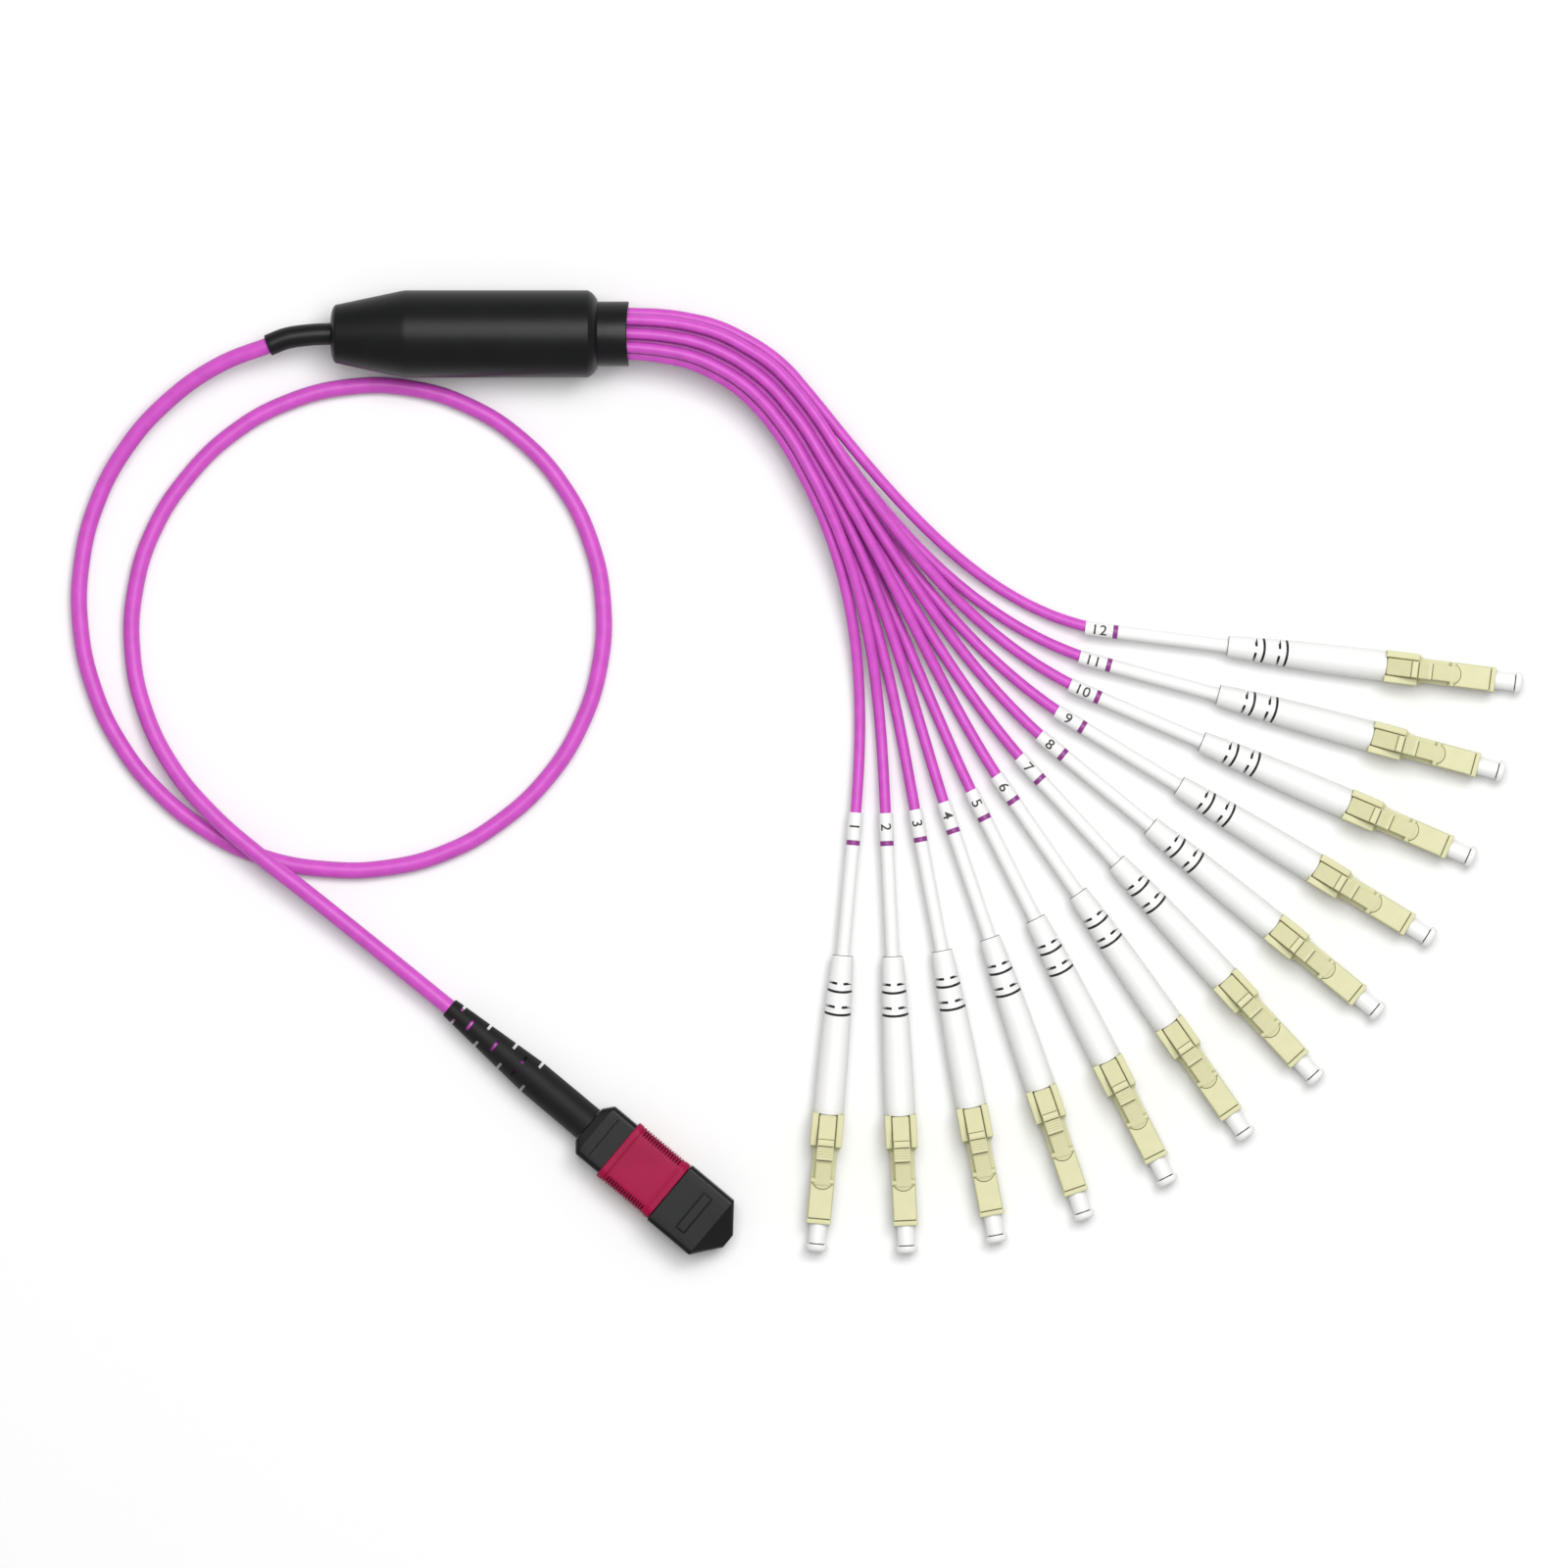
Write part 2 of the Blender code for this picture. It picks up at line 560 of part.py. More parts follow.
def lc_latch_outline():
    """Side view of the latch arm: rooted on the raised block, rising towards the trigger."""
    raised_start = LC_FRONT - LC_LIP_LENGTH - LC_RAISED_LENGTH
    front = raised_start + LC_LATCH_ROOT
    tail = raised_start - LC_LATCH_LENGTH
    arm_top = LC_RAISED_TOP + LC_LATCH_THICKNESS
    return [
        (front, LC_RAISED_TOP - JOIN), (front, LC_RAISED_TOP),
        (front - LC_LATCH_BEVEL, arm_top), (tail, LC_LATCH_TAIL_TOP),
        (tail, LC_LATCH_TAIL_TOP - LC_LATCH_THICKNESS),
        (raised_start + JOIN, LC_RAISED_TOP - JOIN),
    ]


def lc_trigger_outline():
    """Side view of the trigger: rooted on the rear block, rising forward over the latch."""
    start = LC_BODY_START + LC_TRIGGER_SETBACK
    end = start + LC_TRIGGER_LENGTH
    rear_top = LC_REAR_WIDTH / 2
    root_level = rear_top - LC_RAIL_HEIGHT - JOIN
    under = LC_TRIGGER_TOP - LC_TRIGGER_THICKNESS
    return [
        (start, root_level), (start, rear_top), (end - LC_TRIGGER_LEVEL, LC_TRIGGER_TOP),
        (end, LC_TRIGGER_TOP), (end, under), (end - LC_TRIGGER_LEVEL, under),
        (start + LC_TRIGGER_ROOT, root_level),
    ]


def lc_body_mesh():
    shoulder = LC_BODY_START + LC_REAR_LENGTH
    raised_end = LC_FRONT - LC_LIP_LENGTH
    raised_start = raised_end - LC_RAISED_LENGTH
    half_rear = LC_REAR_WIDTH / 2
    half_front = LC_FRONT_WIDTH / 2
    half_raised = half_front - LC_RAISED_INSET
    half_shoulder = half_front + LC_SHOULDER_STEP
    half_catch = LC_CATCH_WIDTH / 2
    trough = half_rear - LC_RAIL_WIDTH
    catch = raised_start - LC_CATCH_SETBACK
    rear = box("rear", (LC_BODY_START, shoulder), (-half_rear, half_rear), (-half_rear, half_rear))
    trough_cut = box("trough", (LC_BODY_START - JOIN, shoulder + JOIN), (-trough, trough),
                     (half_rear - LC_RAIL_HEIGHT, 2 * half_rear))
    bore = rod("bore", LC_BODY_START - JOIN, LC_BODY_START + LC_STUB_LENGTH + FIT_GAP,
               LC_STUB_DIAMETER + 2 * FIT_GAP, SMALL_TURN_STEPS)
    rear = combined("rear_block", rear, cut=[trough_cut, bore])
    added = [
        box("shoulder", (shoulder - JOIN, shoulder + LC_SHOULDER_LENGTH),
            (-half_shoulder, half_shoulder), (-half_shoulder, LC_NECK_TOP + JOIN / 2)),
        box("front", (shoulder - 2 * JOIN, LC_FRONT), (-half_front, half_front),
            (-half_front, LC_NECK_TOP)),
        box("raised", (raised_start, raised_end), (-half_raised, half_raised),
            (0.0, LC_RAISED_TOP)),
        side_plate("latch", lc_latch_outline(), LC_LATCH_WIDTH),
        box("catch", (catch, catch + LC_CATCH_LENGTH), (-half_catch, half_catch),
            (LC_RAISED_TOP, LC_RAISED_TOP + LC_LATCH_THICKNESS)),
        side_plate("trigger", lc_trigger_outline(), LC_TRIGGER_WIDTH),
    ]
    socket_floor = LC_FRONT - LC_CAP_INSERTION - LC_CAP_TIP_CLEARANCE
    socket = rod("socket", socket_floor, LC_FRONT + JOIN, LC_SOCKET, TURN_STEPS)
    housing = combined("housing", rear, added=added, cut=[socket])
    ferrule = rod("ferrule", socket_floor - JOIN, LC_FRONT, LC_FERRULE_DIAMETER,
                  SMALL_TURN_STEPS)
    return combined("lc_body", housing, added=[ferrule])


def lc_cap_mesh():
    stem = LC_CAP_STEM / 2
    bore = LC_CAP_BORE / 2
    stem_start = LC_FRONT - LC_CAP_INSERTION
    bore_end = LC_FRONT + LC_CAP_BORE_SPARE
    flange_start = LC_FRONT + LC_CAP_REACH
    flange_end = flange_start + LC_CAP_FLANGE_LENGTH
    flange = stem + LC_CAP_FLANGE_STEP
    fillet = LC_CAP_FLANGE_FILLET
    profile = [
        (flange_end, 0.0), (flange_end, flange - fillet), (flange_end - fillet, flange),
        (flange_start, flange), (flange_start, stem), (stem_start, stem), (stem_start, bore),
        (bore_end, bore), (bore_end, 0.0),
    ]
    return turned("lc_cap", profile, SMALL_TURN_STEPS)


def build_legs(violet, white, beige, cap_white):
    boot = lc_boot_mesh()
    body = lc_body_mesh()
    cap = lc_cap_mesh()
    for number in range(1, LEG_COUNT + 1):
        cord(f"leg_{number:02d}", leg_route(number), LEG_DIAMETER, violet)
        marker_start = fan_place(number, FAN_RADIUS)
        marker_start.z = LC_AXIS
        plug = frame(f"lc_frame_{number:02d}", marker_start, fan_angle(number))
        place(f"lc_boot_{number:02d}", boot, white, plug)
        place(f"lc_body_{number:02d}", body, beige, plug)
        place(f"lc_cap_{number:02d}", cap, cap_white, plug)


# MPO plug: notched boot, housing with hub, core and nose, sliding coupling, ferrule and cap


def mpo_boot_mesh():
    end = MPO_BOOT_LENGTH - FIT_GAP
    front = MPO_BOOT_FRONT_DIAMETER / 2
    stub = MPO_STUB_DIAMETER / 2
    stub_end = MPO_BOOT_LENGTH + MPO_STUB_LENGTH
    profile = [
        (0.0, 0.0), (0.0, MPO_BOOT_REAR_DIAMETER / 2),
        (MPO_BOOT_TAPER_LENGTH, MPO_BOOT_MID_DIAMETER / 2), (end, front), (end, stub),
        (stub_end, stub), (stub_end, 0.0),
    ]
    core = MPO_BOOT_CORE_DIAMETER / 2
    across = (-MPO_BOOT_FRONT_DIAMETER, MPO_BOOT_FRONT_DIAMETER)
    notches = []
    for index in range(MPO_SIDE_NOTCHES + MPO_TOP_NOTCHES):
        middle = MPO_NOTCH_FIRST + index * MPO_NOTCH_STEP / 2
        along = (middle - MPO_NOTCH_WIDTH / 2, middle + MPO_NOTCH_WIDTH / 2)
        for side in (-1, 1):
            outward = sorted((side * core, side * MPO_BOOT_FRONT_DIAMETER))
            if index % 2 == 0:
                notches.append(box("notch", along, outward, across))
            else:
                notches.append(box("notch", along, across, outward))
    return combined("mpo_boot", turned("boot", profile, TURN_STEPS), cut=notches)


def mpo_housing_mesh():
    radius = MPO_CORNER_RADIUS
    hub_width = MPO_STUB_BORE + 2 * MPO_HUB_SIDE_WALL
    hub_height = MPO_STUB_BORE + 2 * MPO_HUB_TOP_WALL
    sections = [
        (MPO_BOOT_LENGTH, hub_width, hub_height, radius),
        (MPO_BOOT_LENGTH + MPO_HUB_CHAMFER, MPO_CORE_WIDTH, MPO_CORE_HEIGHT, radius),
        (MPO_NOSE_START, MPO_CORE_WIDTH, MPO_CORE_HEIGHT, radius),
        (MPO_NOSE_START, MPO_NOSE_WIDTH, MPO_NOSE_HEIGHT, radius),
        (MPO_NOSE_END, MPO_NOSE_WIDTH, MPO_NOSE_HEIGHT, radius),
    ]
    key = box("key", (MPO_NOSE_START - JOIN, MPO_NOSE_START + MPO_KEY_LENGTH),
              (-MPO_KEY_WIDTH / 2, MPO_KEY_WIDTH / 2),
              (MPO_NOSE_HEIGHT / 2 - JOIN, MPO_NOSE_HEIGHT / 2 + MPO_KEY_HEIGHT))
    bore = rod("bore", MPO_BOOT_LENGTH - JOIN, MPO_BOOT_LENGTH + MPO_STUB_LENGTH + FIT_GAP,
               MPO_STUB_BORE, TURN_STEPS)
    half_width = MPO_FERRULE_WIDTH / 2 + FIT_GAP
    half_height = MPO_FERRULE_HEIGHT / 2 + FIT_GAP
    pocket = box("pocket", (MPO_NOSE_END - MPO_POCKET_DEPTH, MPO_NOSE_END + JOIN),
                 (-half_width, half_width), (-half_height, half_height))
    return combined("mpo_housing", lofted("housing", sections), added=[key], cut=[bore, pocket])


def mpo_coupling_mesh():
    start = MPO_COUPLING_START
    end = MPO_NOSE_START
    bore_radius = MPO_CORNER_RADIUS + SLIDE_GAP
    radius = bore_radius + MPO_COUPLING_WALL
    outer = lofted("sleeve", [(start, *MPO_COUPLING_SIZE, radius), (end, *MPO_COUPLING_SIZE, radius)])
    bore = lofted("bore", [(start - JOIN, *MPO_COUPLING_BORE, bore_radius),
                           (end + JOIN, *MPO_COUPLING_BORE, bore_radius)])
    return combined("mpo_coupling", outer, cut=[bore])


def mpo_ferrule_mesh():
    start = MPO_NOSE_END - MPO_POCKET_DEPTH + FIT_GAP
    return box("mpo_ferrule", (start, MPO_FERRULE_END),
               (-MPO_FERRULE_WIDTH / 2, MPO_FERRULE_WIDTH / 2),
               (-MPO_FERRULE_HEIGHT / 2, MPO_FERRULE_HEIGHT / 2))


def mpo_cap_mesh():
    start = MPO_NOSE_START + FIT_GAP
    end = start + MPO_CAP_LENGTH
    full = end - MPO_CAP_PYRAMID_LENGTH
    bar = start + MPO_CAP_BAR_PLACE
    outer = lofted("cap", [(start, MPO_CAP_WIDTH, MPO_CAP_HEIGHT, MPO_CORNER_RADIUS),
                           (full, MPO_CAP_WIDTH, MPO_CAP_HEIGHT, MPO_CORNER_RADIUS),
                           (end, MPO_CAP_TIP_WIDTH, MPO_CAP_TIP_HEIGHT, MPO_CAP_TIP_RADIUS)])
    grip = box("bar", (bar - MPO_CAP_BAR_LENGTH / 2, bar + MPO_CAP_BAR_LENGTH / 2),
               (-MPO_CAP_BAR_WIDTH / 2, MPO_CAP_BAR_WIDTH / 2),
               (MPO_CAP_HEIGHT / 2 - JOIN, MPO_CAP_HEIGHT / 2 + MPO_CAP_BAR_HEIGHT))
    width = MPO_NOSE_WIDTH + 2 * FIT_GAP
    height = MPO_NOSE_HEIGHT + 2 * FIT_GAP
    radius = MPO_CORNER_RADIUS + FIT_GAP
    cavity = lofted("cavity", [(start - JOIN, width, height, radius),
                               (MPO_FERRULE_END + MPO_CAP_SPARE_DEPTH, width, height, radius)])
    half_slot = MPO_KEY_WIDTH / 2 + FIT_GAP
    key_slot = box("key_slot", (start - JOIN, MPO_NOSE_START + MPO_KEY_LENGTH + FIT_GAP),
                   (-half_slot, half_slot), (0.0, MPO_NOSE_HEIGHT / 2 + MPO_KEY_HEIGHT + FIT_GAP))
    return combined("mpo_cap", outer, added=[grip], cut=[cavity, key_slot])


def build_mpo(plug, black, boot_black, crimson, ferrule_grey):
    place("mpo_boot", mpo_boot_mesh(), boot_black, plug)
    place("mpo_housing", mpo_housing_mesh(), black, plug)
    place("mpo_coupling", mpo_coupling_mesh(), crimson, plug)
    place("mpo_ferrule", mpo_ferrule_mesh(), ferrule_grey, plug)
    place("mpo_cap", mpo_cap_mesh(), black, plug)


def main():
    clear_scene()
    violet = principled("violet_jacket", (0.63, 0.10, 0.50), 0.45)
    black = principled("black_plastic", (0.018, 0.019, 0.021), 0.38)
    boot_black = principled("black_rubber", (0.022, 0.022, 0.024), 0.60)
    collar_black = principled("black_tube", (0.012, 0.012, 0.013), 0.50)
    crimson = principled("crimson_plastic", (0.55, 0.02, 0.14), 0.40)
    ferrule_grey = principled("ferrule_polymer", (0.06, 0.06, 0.065), 0.35)
    white = principled("white_boot", (0.86, 0.86, 0.85), 0.50)
    beige = principled("beige_plastic", (0.66, 0.60, 0.47), 0.42)
    cap_white = principled("white_cap", (0.88, 0.88, 0.87), 0.45)
    housing = frame("fanout_frame", (*HOUSING_TRUNK_END, HOUSING_AXIS))
    plug = frame("mpo_frame", (*MPO_TAIL_END, MPO_AXIS), MPO_ANGLE)
    build_fanout(housing, black, collar_black)
    build_trunk(Matrix.Translation((*HOUSING_TRUNK_END, HOUSING_AXIS)),
                Matrix.LocRotScale(plug.location, plug.rotation_euler, None), violet)
    build_legs(violet, white, beige, cap_white)
    build_mpo(plug, black, boot_black, crimson, ferrule_grey)


main()
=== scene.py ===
"""Looks of the fibre breakout cable: cords, plugs and fanout in detail, on a pale floor.

Cord routes are in metres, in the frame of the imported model. Plugs and the fanout are modelled in
millimetres along their own axis and put in place at the end.
"""
import math

import bmesh
import bpy
from mathutils import Matrix, Vector

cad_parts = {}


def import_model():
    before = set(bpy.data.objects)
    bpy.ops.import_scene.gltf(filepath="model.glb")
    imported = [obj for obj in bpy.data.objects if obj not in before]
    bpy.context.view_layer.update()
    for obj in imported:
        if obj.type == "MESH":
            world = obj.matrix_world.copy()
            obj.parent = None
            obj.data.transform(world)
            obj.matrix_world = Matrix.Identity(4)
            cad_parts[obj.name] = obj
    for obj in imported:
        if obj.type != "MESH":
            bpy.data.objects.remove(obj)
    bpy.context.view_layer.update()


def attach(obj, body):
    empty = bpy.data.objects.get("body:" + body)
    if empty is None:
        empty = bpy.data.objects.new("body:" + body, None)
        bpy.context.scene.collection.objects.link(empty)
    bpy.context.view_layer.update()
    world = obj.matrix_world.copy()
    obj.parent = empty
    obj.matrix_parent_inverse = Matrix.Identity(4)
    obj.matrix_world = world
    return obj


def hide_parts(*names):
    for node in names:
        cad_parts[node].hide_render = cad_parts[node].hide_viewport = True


MM = 0.001

# The photograph: straight down, 5.6 pixels to a millimetre, and the point at its middle
PICTURE_WIDTH = 1600 / 5600
PICTURE_CENTRE = (-0.0198, -0.0020)
CAMERA_HEIGHT = 3.0
PICTURE_LEVEL = 0.004
SENSOR_WIDTH = 36.0

# Floor and light. A lamp has its place, what it points at, its width and depth in metres, and
# its power in watts.
FLOOR_COLOUR = (0.75, 0.75, 0.75)
FLOOR_REACH = 6.0
FLOOR_LEVEL = -0.00003
SKY_STRENGTH = 0.48
OVERHEAD_LAMP = ((0.10, 0.34, 1.50), (-0.02, 0.0, 0.0), 1.2, 1.0, 20.5)
KEY_LAMP = ((0.36, 0.46, 1.15), (0.0, 0.0, 0.0), 0.45, 0.45, 3.8)

# Cords and the pieces they run between, as in the CAD model, in metres
FIT_GAP = 0.0003
FLOOR_GAP = 0.00005
TRUNK_DIAMETER = 0.0030
LEG_DIAMETER = 0.0020
LEG_COUNT = 12
LEG_PITCH = 0.0025
TRUNK_POINTS = 40
SLEEVE_POINTS = 40
LEG_POINTS = 25
HOUSING_TRUNK_END = (-0.1023, 0.0799)
HOUSING_LENGTH = 0.04855
HOUSING_AXIS = 0.00795
COLLAR_SEAT_DEPTH = 0.0030
COLLAR_REACH = 0.0055
SLEEVE_SEAT = 0.0027
SLEEVE_ROUTE = [(0.0, 0.0, 0.0), (-0.0040, -0.0002, 0.0), (-0.0080, -0.0008, -0.0001),
                (-0.0114, -0.0021, -0.0003)]
FAN_CENTRE = (-0.0032, 0.03125)
FAN_RADIUS = 0.0386
FAN_FIRST_ANGLE = math.radians(95.2)
FAN_STEP = math.radians(8.0)
LC_AXIS = 0.0029
MARKER_AND_BAND = 0.00595
MPO_TAIL_END = (-0.0808, -0.0427)
MPO_ANGLE = math.radians(40.0)
MPO_AXIS = 0.00412
HOUSING_PLACE = Matrix.Translation((*HOUSING_TRUNK_END, HOUSING_AXIS))
MPO_PLACE = Matrix.Translation((*MPO_TAIL_END, MPO_AXIS)) @ Matrix.Rotation(-MPO_ANGLE, 4, "Z")

# Routes. F is the height of the trunk's middle where it lies on the floor. The last number of a
# bundle point is how far the legs spread there, and a leg's slot is its place in the bundle in
# half pitches across and rows down.
F = TRUNK_DIAMETER / 2 + FLOOR_GAP
TRUNK_ROUTE = [
    (-0.1227, 0.0743, 0.0062), (-0.1343, 0.0657, 0.0040), (-0.1429, 0.0541, 0.0022),
    (-0.1475, 0.0407, F), (-0.1481, 0.0266, F), (-0.1449, 0.0133, F), (-0.1384, 0.0017, F),
    (-0.1293, -0.0075, F), (-0.1182, -0.0141, F), (-0.1070, -0.0171, F), (-0.0952, -0.0176, F),
    (-0.0839, -0.0154, F), (-0.0738, -0.0104, F), (-0.0652, -0.0034, F), (-0.0586, 0.0054, F),
    (-0.0543, 0.0157, F), (-0.0527, 0.0266, F), (-0.0538, 0.0377, F), (-0.0577, 0.0483, F),
    (-0.0643, 0.0575, F), (-0.0732, 0.0648, F), (-0.0838, 0.0693, F), (-0.0952, 0.0707, F),
    (-0.1065, 0.0689, F), (-0.1170, 0.0643, F), (-0.1257, 0.0571, F), (-0.1327, 0.0482, F),
    (-0.1371, 0.0379, F), (-0.1388, 0.0266, F), (-0.1375, 0.0153, 0.0019),
    (-0.1334, 0.0046, 0.0030), (-0.1266, -0.0048, 0.0043), (-0.1182, -0.0127, 0.0050),
    (-0.1079, -0.0209, 0.0051), (-0.0945, -0.0316, 0.0044),
]
BUNDLE_ROUTE = [(-0.0413, 0.0794, 0.0078, 1.05), (-0.0341, 0.0778, 0.0075, 1.10),
                (-0.0288, 0.0752, 0.0070, 1.15), (-0.0232, 0.0713, 0.0063, 1.18),
                (-0.0171, 0.0642, 0.0057, 1.20)]
LEG_SLOTS = [(-3, 1), (-2, 0), (-2, 2), (-1, 1), (-1, 3), (0, 0), (0, 2), (1, 1), (1, 3),
             (2, 0), (2, 2), (3, 1)]
BUNDLE_ROWS = 4
LEG_EXIT_ANGLE = math.radians(57.0)
LAST_LEG_EXIT_ANGLE = math.radians(51.5)
LEG_START_PULL = 1.22
LEG_END_PULL = 0.95
LEG_LOW_HEIGHT = 0.0013
LEG_FLAT_FROM = 0.05
LEG_FLAT_TO = 0.80
LEG_RISE_FROM = 0.62

# LC plug, millimetres along its axis from the start of its marker
MARKER_END = 5.1
BAND_END = 5.95
TAIL_END = 26.15
BODY = 54.95
SHOULDER = 61.25
RAISED = 67.9
SOCKET_FLOOR = 71.25
RAISED_END = 74.25
FRONT = 75.25
CAP_FLANGE = 79.05
CAP_END = 80.3

# LC plug, radii, half widths and levels above its axis in millimetres
MARKER_RADIUS = 1.30
TAIL_RADIUS = 1.23
BOOT_REAR = 1.92
BOOT_FRONT = 2.77
BOOT_BULGE = 0.36
LC_HALF_REAR = 2.9
LC_HALF_FRONT = 2.275
RAIL_INNER = 1.68
NECK_TOP = 1.10
NOSE_TOP = 2.10
NOSE_CORNER = 0.25
SOCKET_RADIUS = 1.85
SOCKET_MOUTH = 1.95
LATCH_FOOT = 2.30
LATCH_HALF = 1.40

# Slots of the LC boot: the middle and form of each in millimetres, and in degrees half of the
# bridge that a form leaves
BOOT_SLOTS = ((31.0, "beside"), (32.5, "above"), (35.3, "beside"), (36.7, "above"))
SLOT_HALF_WIDTH = 0.23
SLOT_EDGE = 0.02
SLOT_DEPTH = 0.8
SLOT_BOW = 0.38
BOW_FROM = 30.0
BOW_TO = 38.0
TOP_BRIDGE = 17.0
SIDE_BRIDGE = 14.0

# MPO plug, millimetres along its axis from the trunk end of its boot
MPO_HUB = 33.2
MPO_COUPLING = 40.1
MPO_NOSE = 52.3
MPO_NOSE_END = 58.7
MPO_FERRULE_END = 60.7
MPO_CAP = 52.4
MPO_CAP_END = 66.3

# Faces that meet at less than this angle are shaded as one. Large round shapes and tubes have
# this many faces round them, and a block's corners are rounded by at least this many millimetres.
SMOOTH_ANGLE = math.radians(38.0)
TURN = 96
TUBE_TURN = 48
LEAST_CORNER = 0.02


# Routes, by the same rules as the CAD model


def smooth_route(points, count):
    """Read evenly spaced points from a Catmull-Rom curve through the given ones."""
    knots = [Vector(point) for point in points]
    knots = [2 * knots[0] - knots[1], *knots, 2 * knots[-1] - knots[-2]]
    samples_each = 24
    dense = []
    for before, start, end, after in zip(knots, knots[1:], knots[2:], knots[3:]):
        for step in range(samples_each):
            t = step / samples_each
            dense.append(0.5 * (2 * start + (end - before) * t
                                + (2 * before - 5 * start + 4 * end - after) * t ** 2
                                + (3 * start - before - 3 * end + after) * t ** 3))
    dense.append(knots[-2])
    travelled = [0.0]
    for here, there in zip(dense, dense[1:]):
        travelled.append(travelled[-1] + (there - here).length)
    route = []
    index = 0
    for number in range(count):
        target = travelled[-1] * number / (count - 1)
        while index < len(dense) - 2 and travelled[index + 1] < target:
            index += 1
        share = (target - travelled[index]) / (travelled[index + 1] - travelled[index])
        route.append(dense[index].lerp(dense[index + 1], min(share, 1.0)))
    return route


def route_length(route):
    return sum((there - here).length for here, there in zip(route, route[1:]))


def fan_angle(number):
    """How far a leg's ray of the fan points below +X, in plan."""
    return FAN_FIRST_ANGLE - FAN_STEP * (number - 1)


def fan_place(number, distance, height=0.0):
    """The point on a leg's ray at a distance from the fan's centre."""
    angle = fan_angle(number)
    return Vector((FAN_CENTRE[0] + distance * math.cos(angle),
                   FAN_CENTRE[1] - distance * math.sin(angle), height))


def eased(share):
    """A share from 0 to 1 that starts and ends gently."""
    share = min(max(share, 0.0), 1.0)
    return share * share * (3.0 - 2.0 * share)


def leg_route(number):
    """Out of the collar in the bundle, then along a Hermite curve to the leg's ray of the fan."""
    half_pitches, row = LEG_SLOTS[number - 1]
    across = half_pitches * LEG_PITCH / 2
    above = ((BUNDLE_ROWS - 1) / 2 - row) * LEG_PITCH * math.sqrt(3) / 2
    collar_start = HOUSING_TRUNK_END[0] + HOUSING_LENGTH - COLLAR_SEAT_DEPTH + FIT_GAP
    collar_end = HOUSING_TRUNK_END[0] + HOUSING_LENGTH + COLLAR_REACH
    level = HOUSING_TRUNK_END[1]
    spine = [(collar_start, level, HOUSING_AXIS, 1.0), (collar_end, level, HOUSING_AXIS, 1.0),
             *BUNDLE_ROUTE]
    points = []
    for index, (x, y, z, spread) in enumerate(spine):
        ahead = spine[min(index + 1, len(spine) - 1)]
        behind = spine[max(index - 1, 0)]
        sideways = Vector((behind[1] - ahead[1], ahead[0] - behind[0], 0.0)).normalized()
        points.append(Vector((x, y, z + above)) + sideways * across * spread)
    exit_angle = LAST_LEG_EXIT_ANGLE if number == LEG_COUNT else LEG_EXIT_ANGLE
    heading = Vector((math.cos(exit_angle), -math.sin(exit_angle), 0.0))
    start = Vector((points[-1].x, points[-1].y, 0.0))
    middle_height = spine[-1][2]
    end = fan_place(number, FAN_RADIUS + MARKER_AND_BAND - FIT_GAP)
    ray = Vector((math.cos(fan_angle(number)), -math.sin(fan_angle(number)), 0.0))
    reach = (end - start).length
    hermite_steps = 10
    for step in range(1, hermite_steps + 1):
        t = step / hermite_steps
        plan = ((2 * t ** 3 - 3 * t ** 2 + 1) * start
                + (t ** 3 - 2 * t ** 2 + t) * heading * reach * LEG_START_PULL
                + (3 * t ** 2 - 2 * t ** 3) * end
                + (t ** 3 - t ** 2) * ray * reach * LEG_END_PULL)
        flat = eased((t - LEG_FLAT_FROM) / (LEG_FLAT_TO - LEG_FLAT_FROM))
        rise = eased((t - LEG_RISE_FROM) / (1.0 - LEG_RISE_FROM))
        height = (middle_height + above) * (1.0 - flat) + LEG_LOW_HEIGHT * flat
        plan.z = height + (LC_AXIS - LEG_LOW_HEIGHT) * rise
        points.append(plan)
    return smooth_route(points, LEG_POINTS)


def plug_place(number):
    """The frame of an LC plug, from the start of its marker outward along its ray."""
    where = fan_place(number, FAN_RADIUS, LC_AXIS)
    return Matrix.Translation(where) @ Matrix.Rotation(-fan_angle(number), 4, "Z")


# Materials


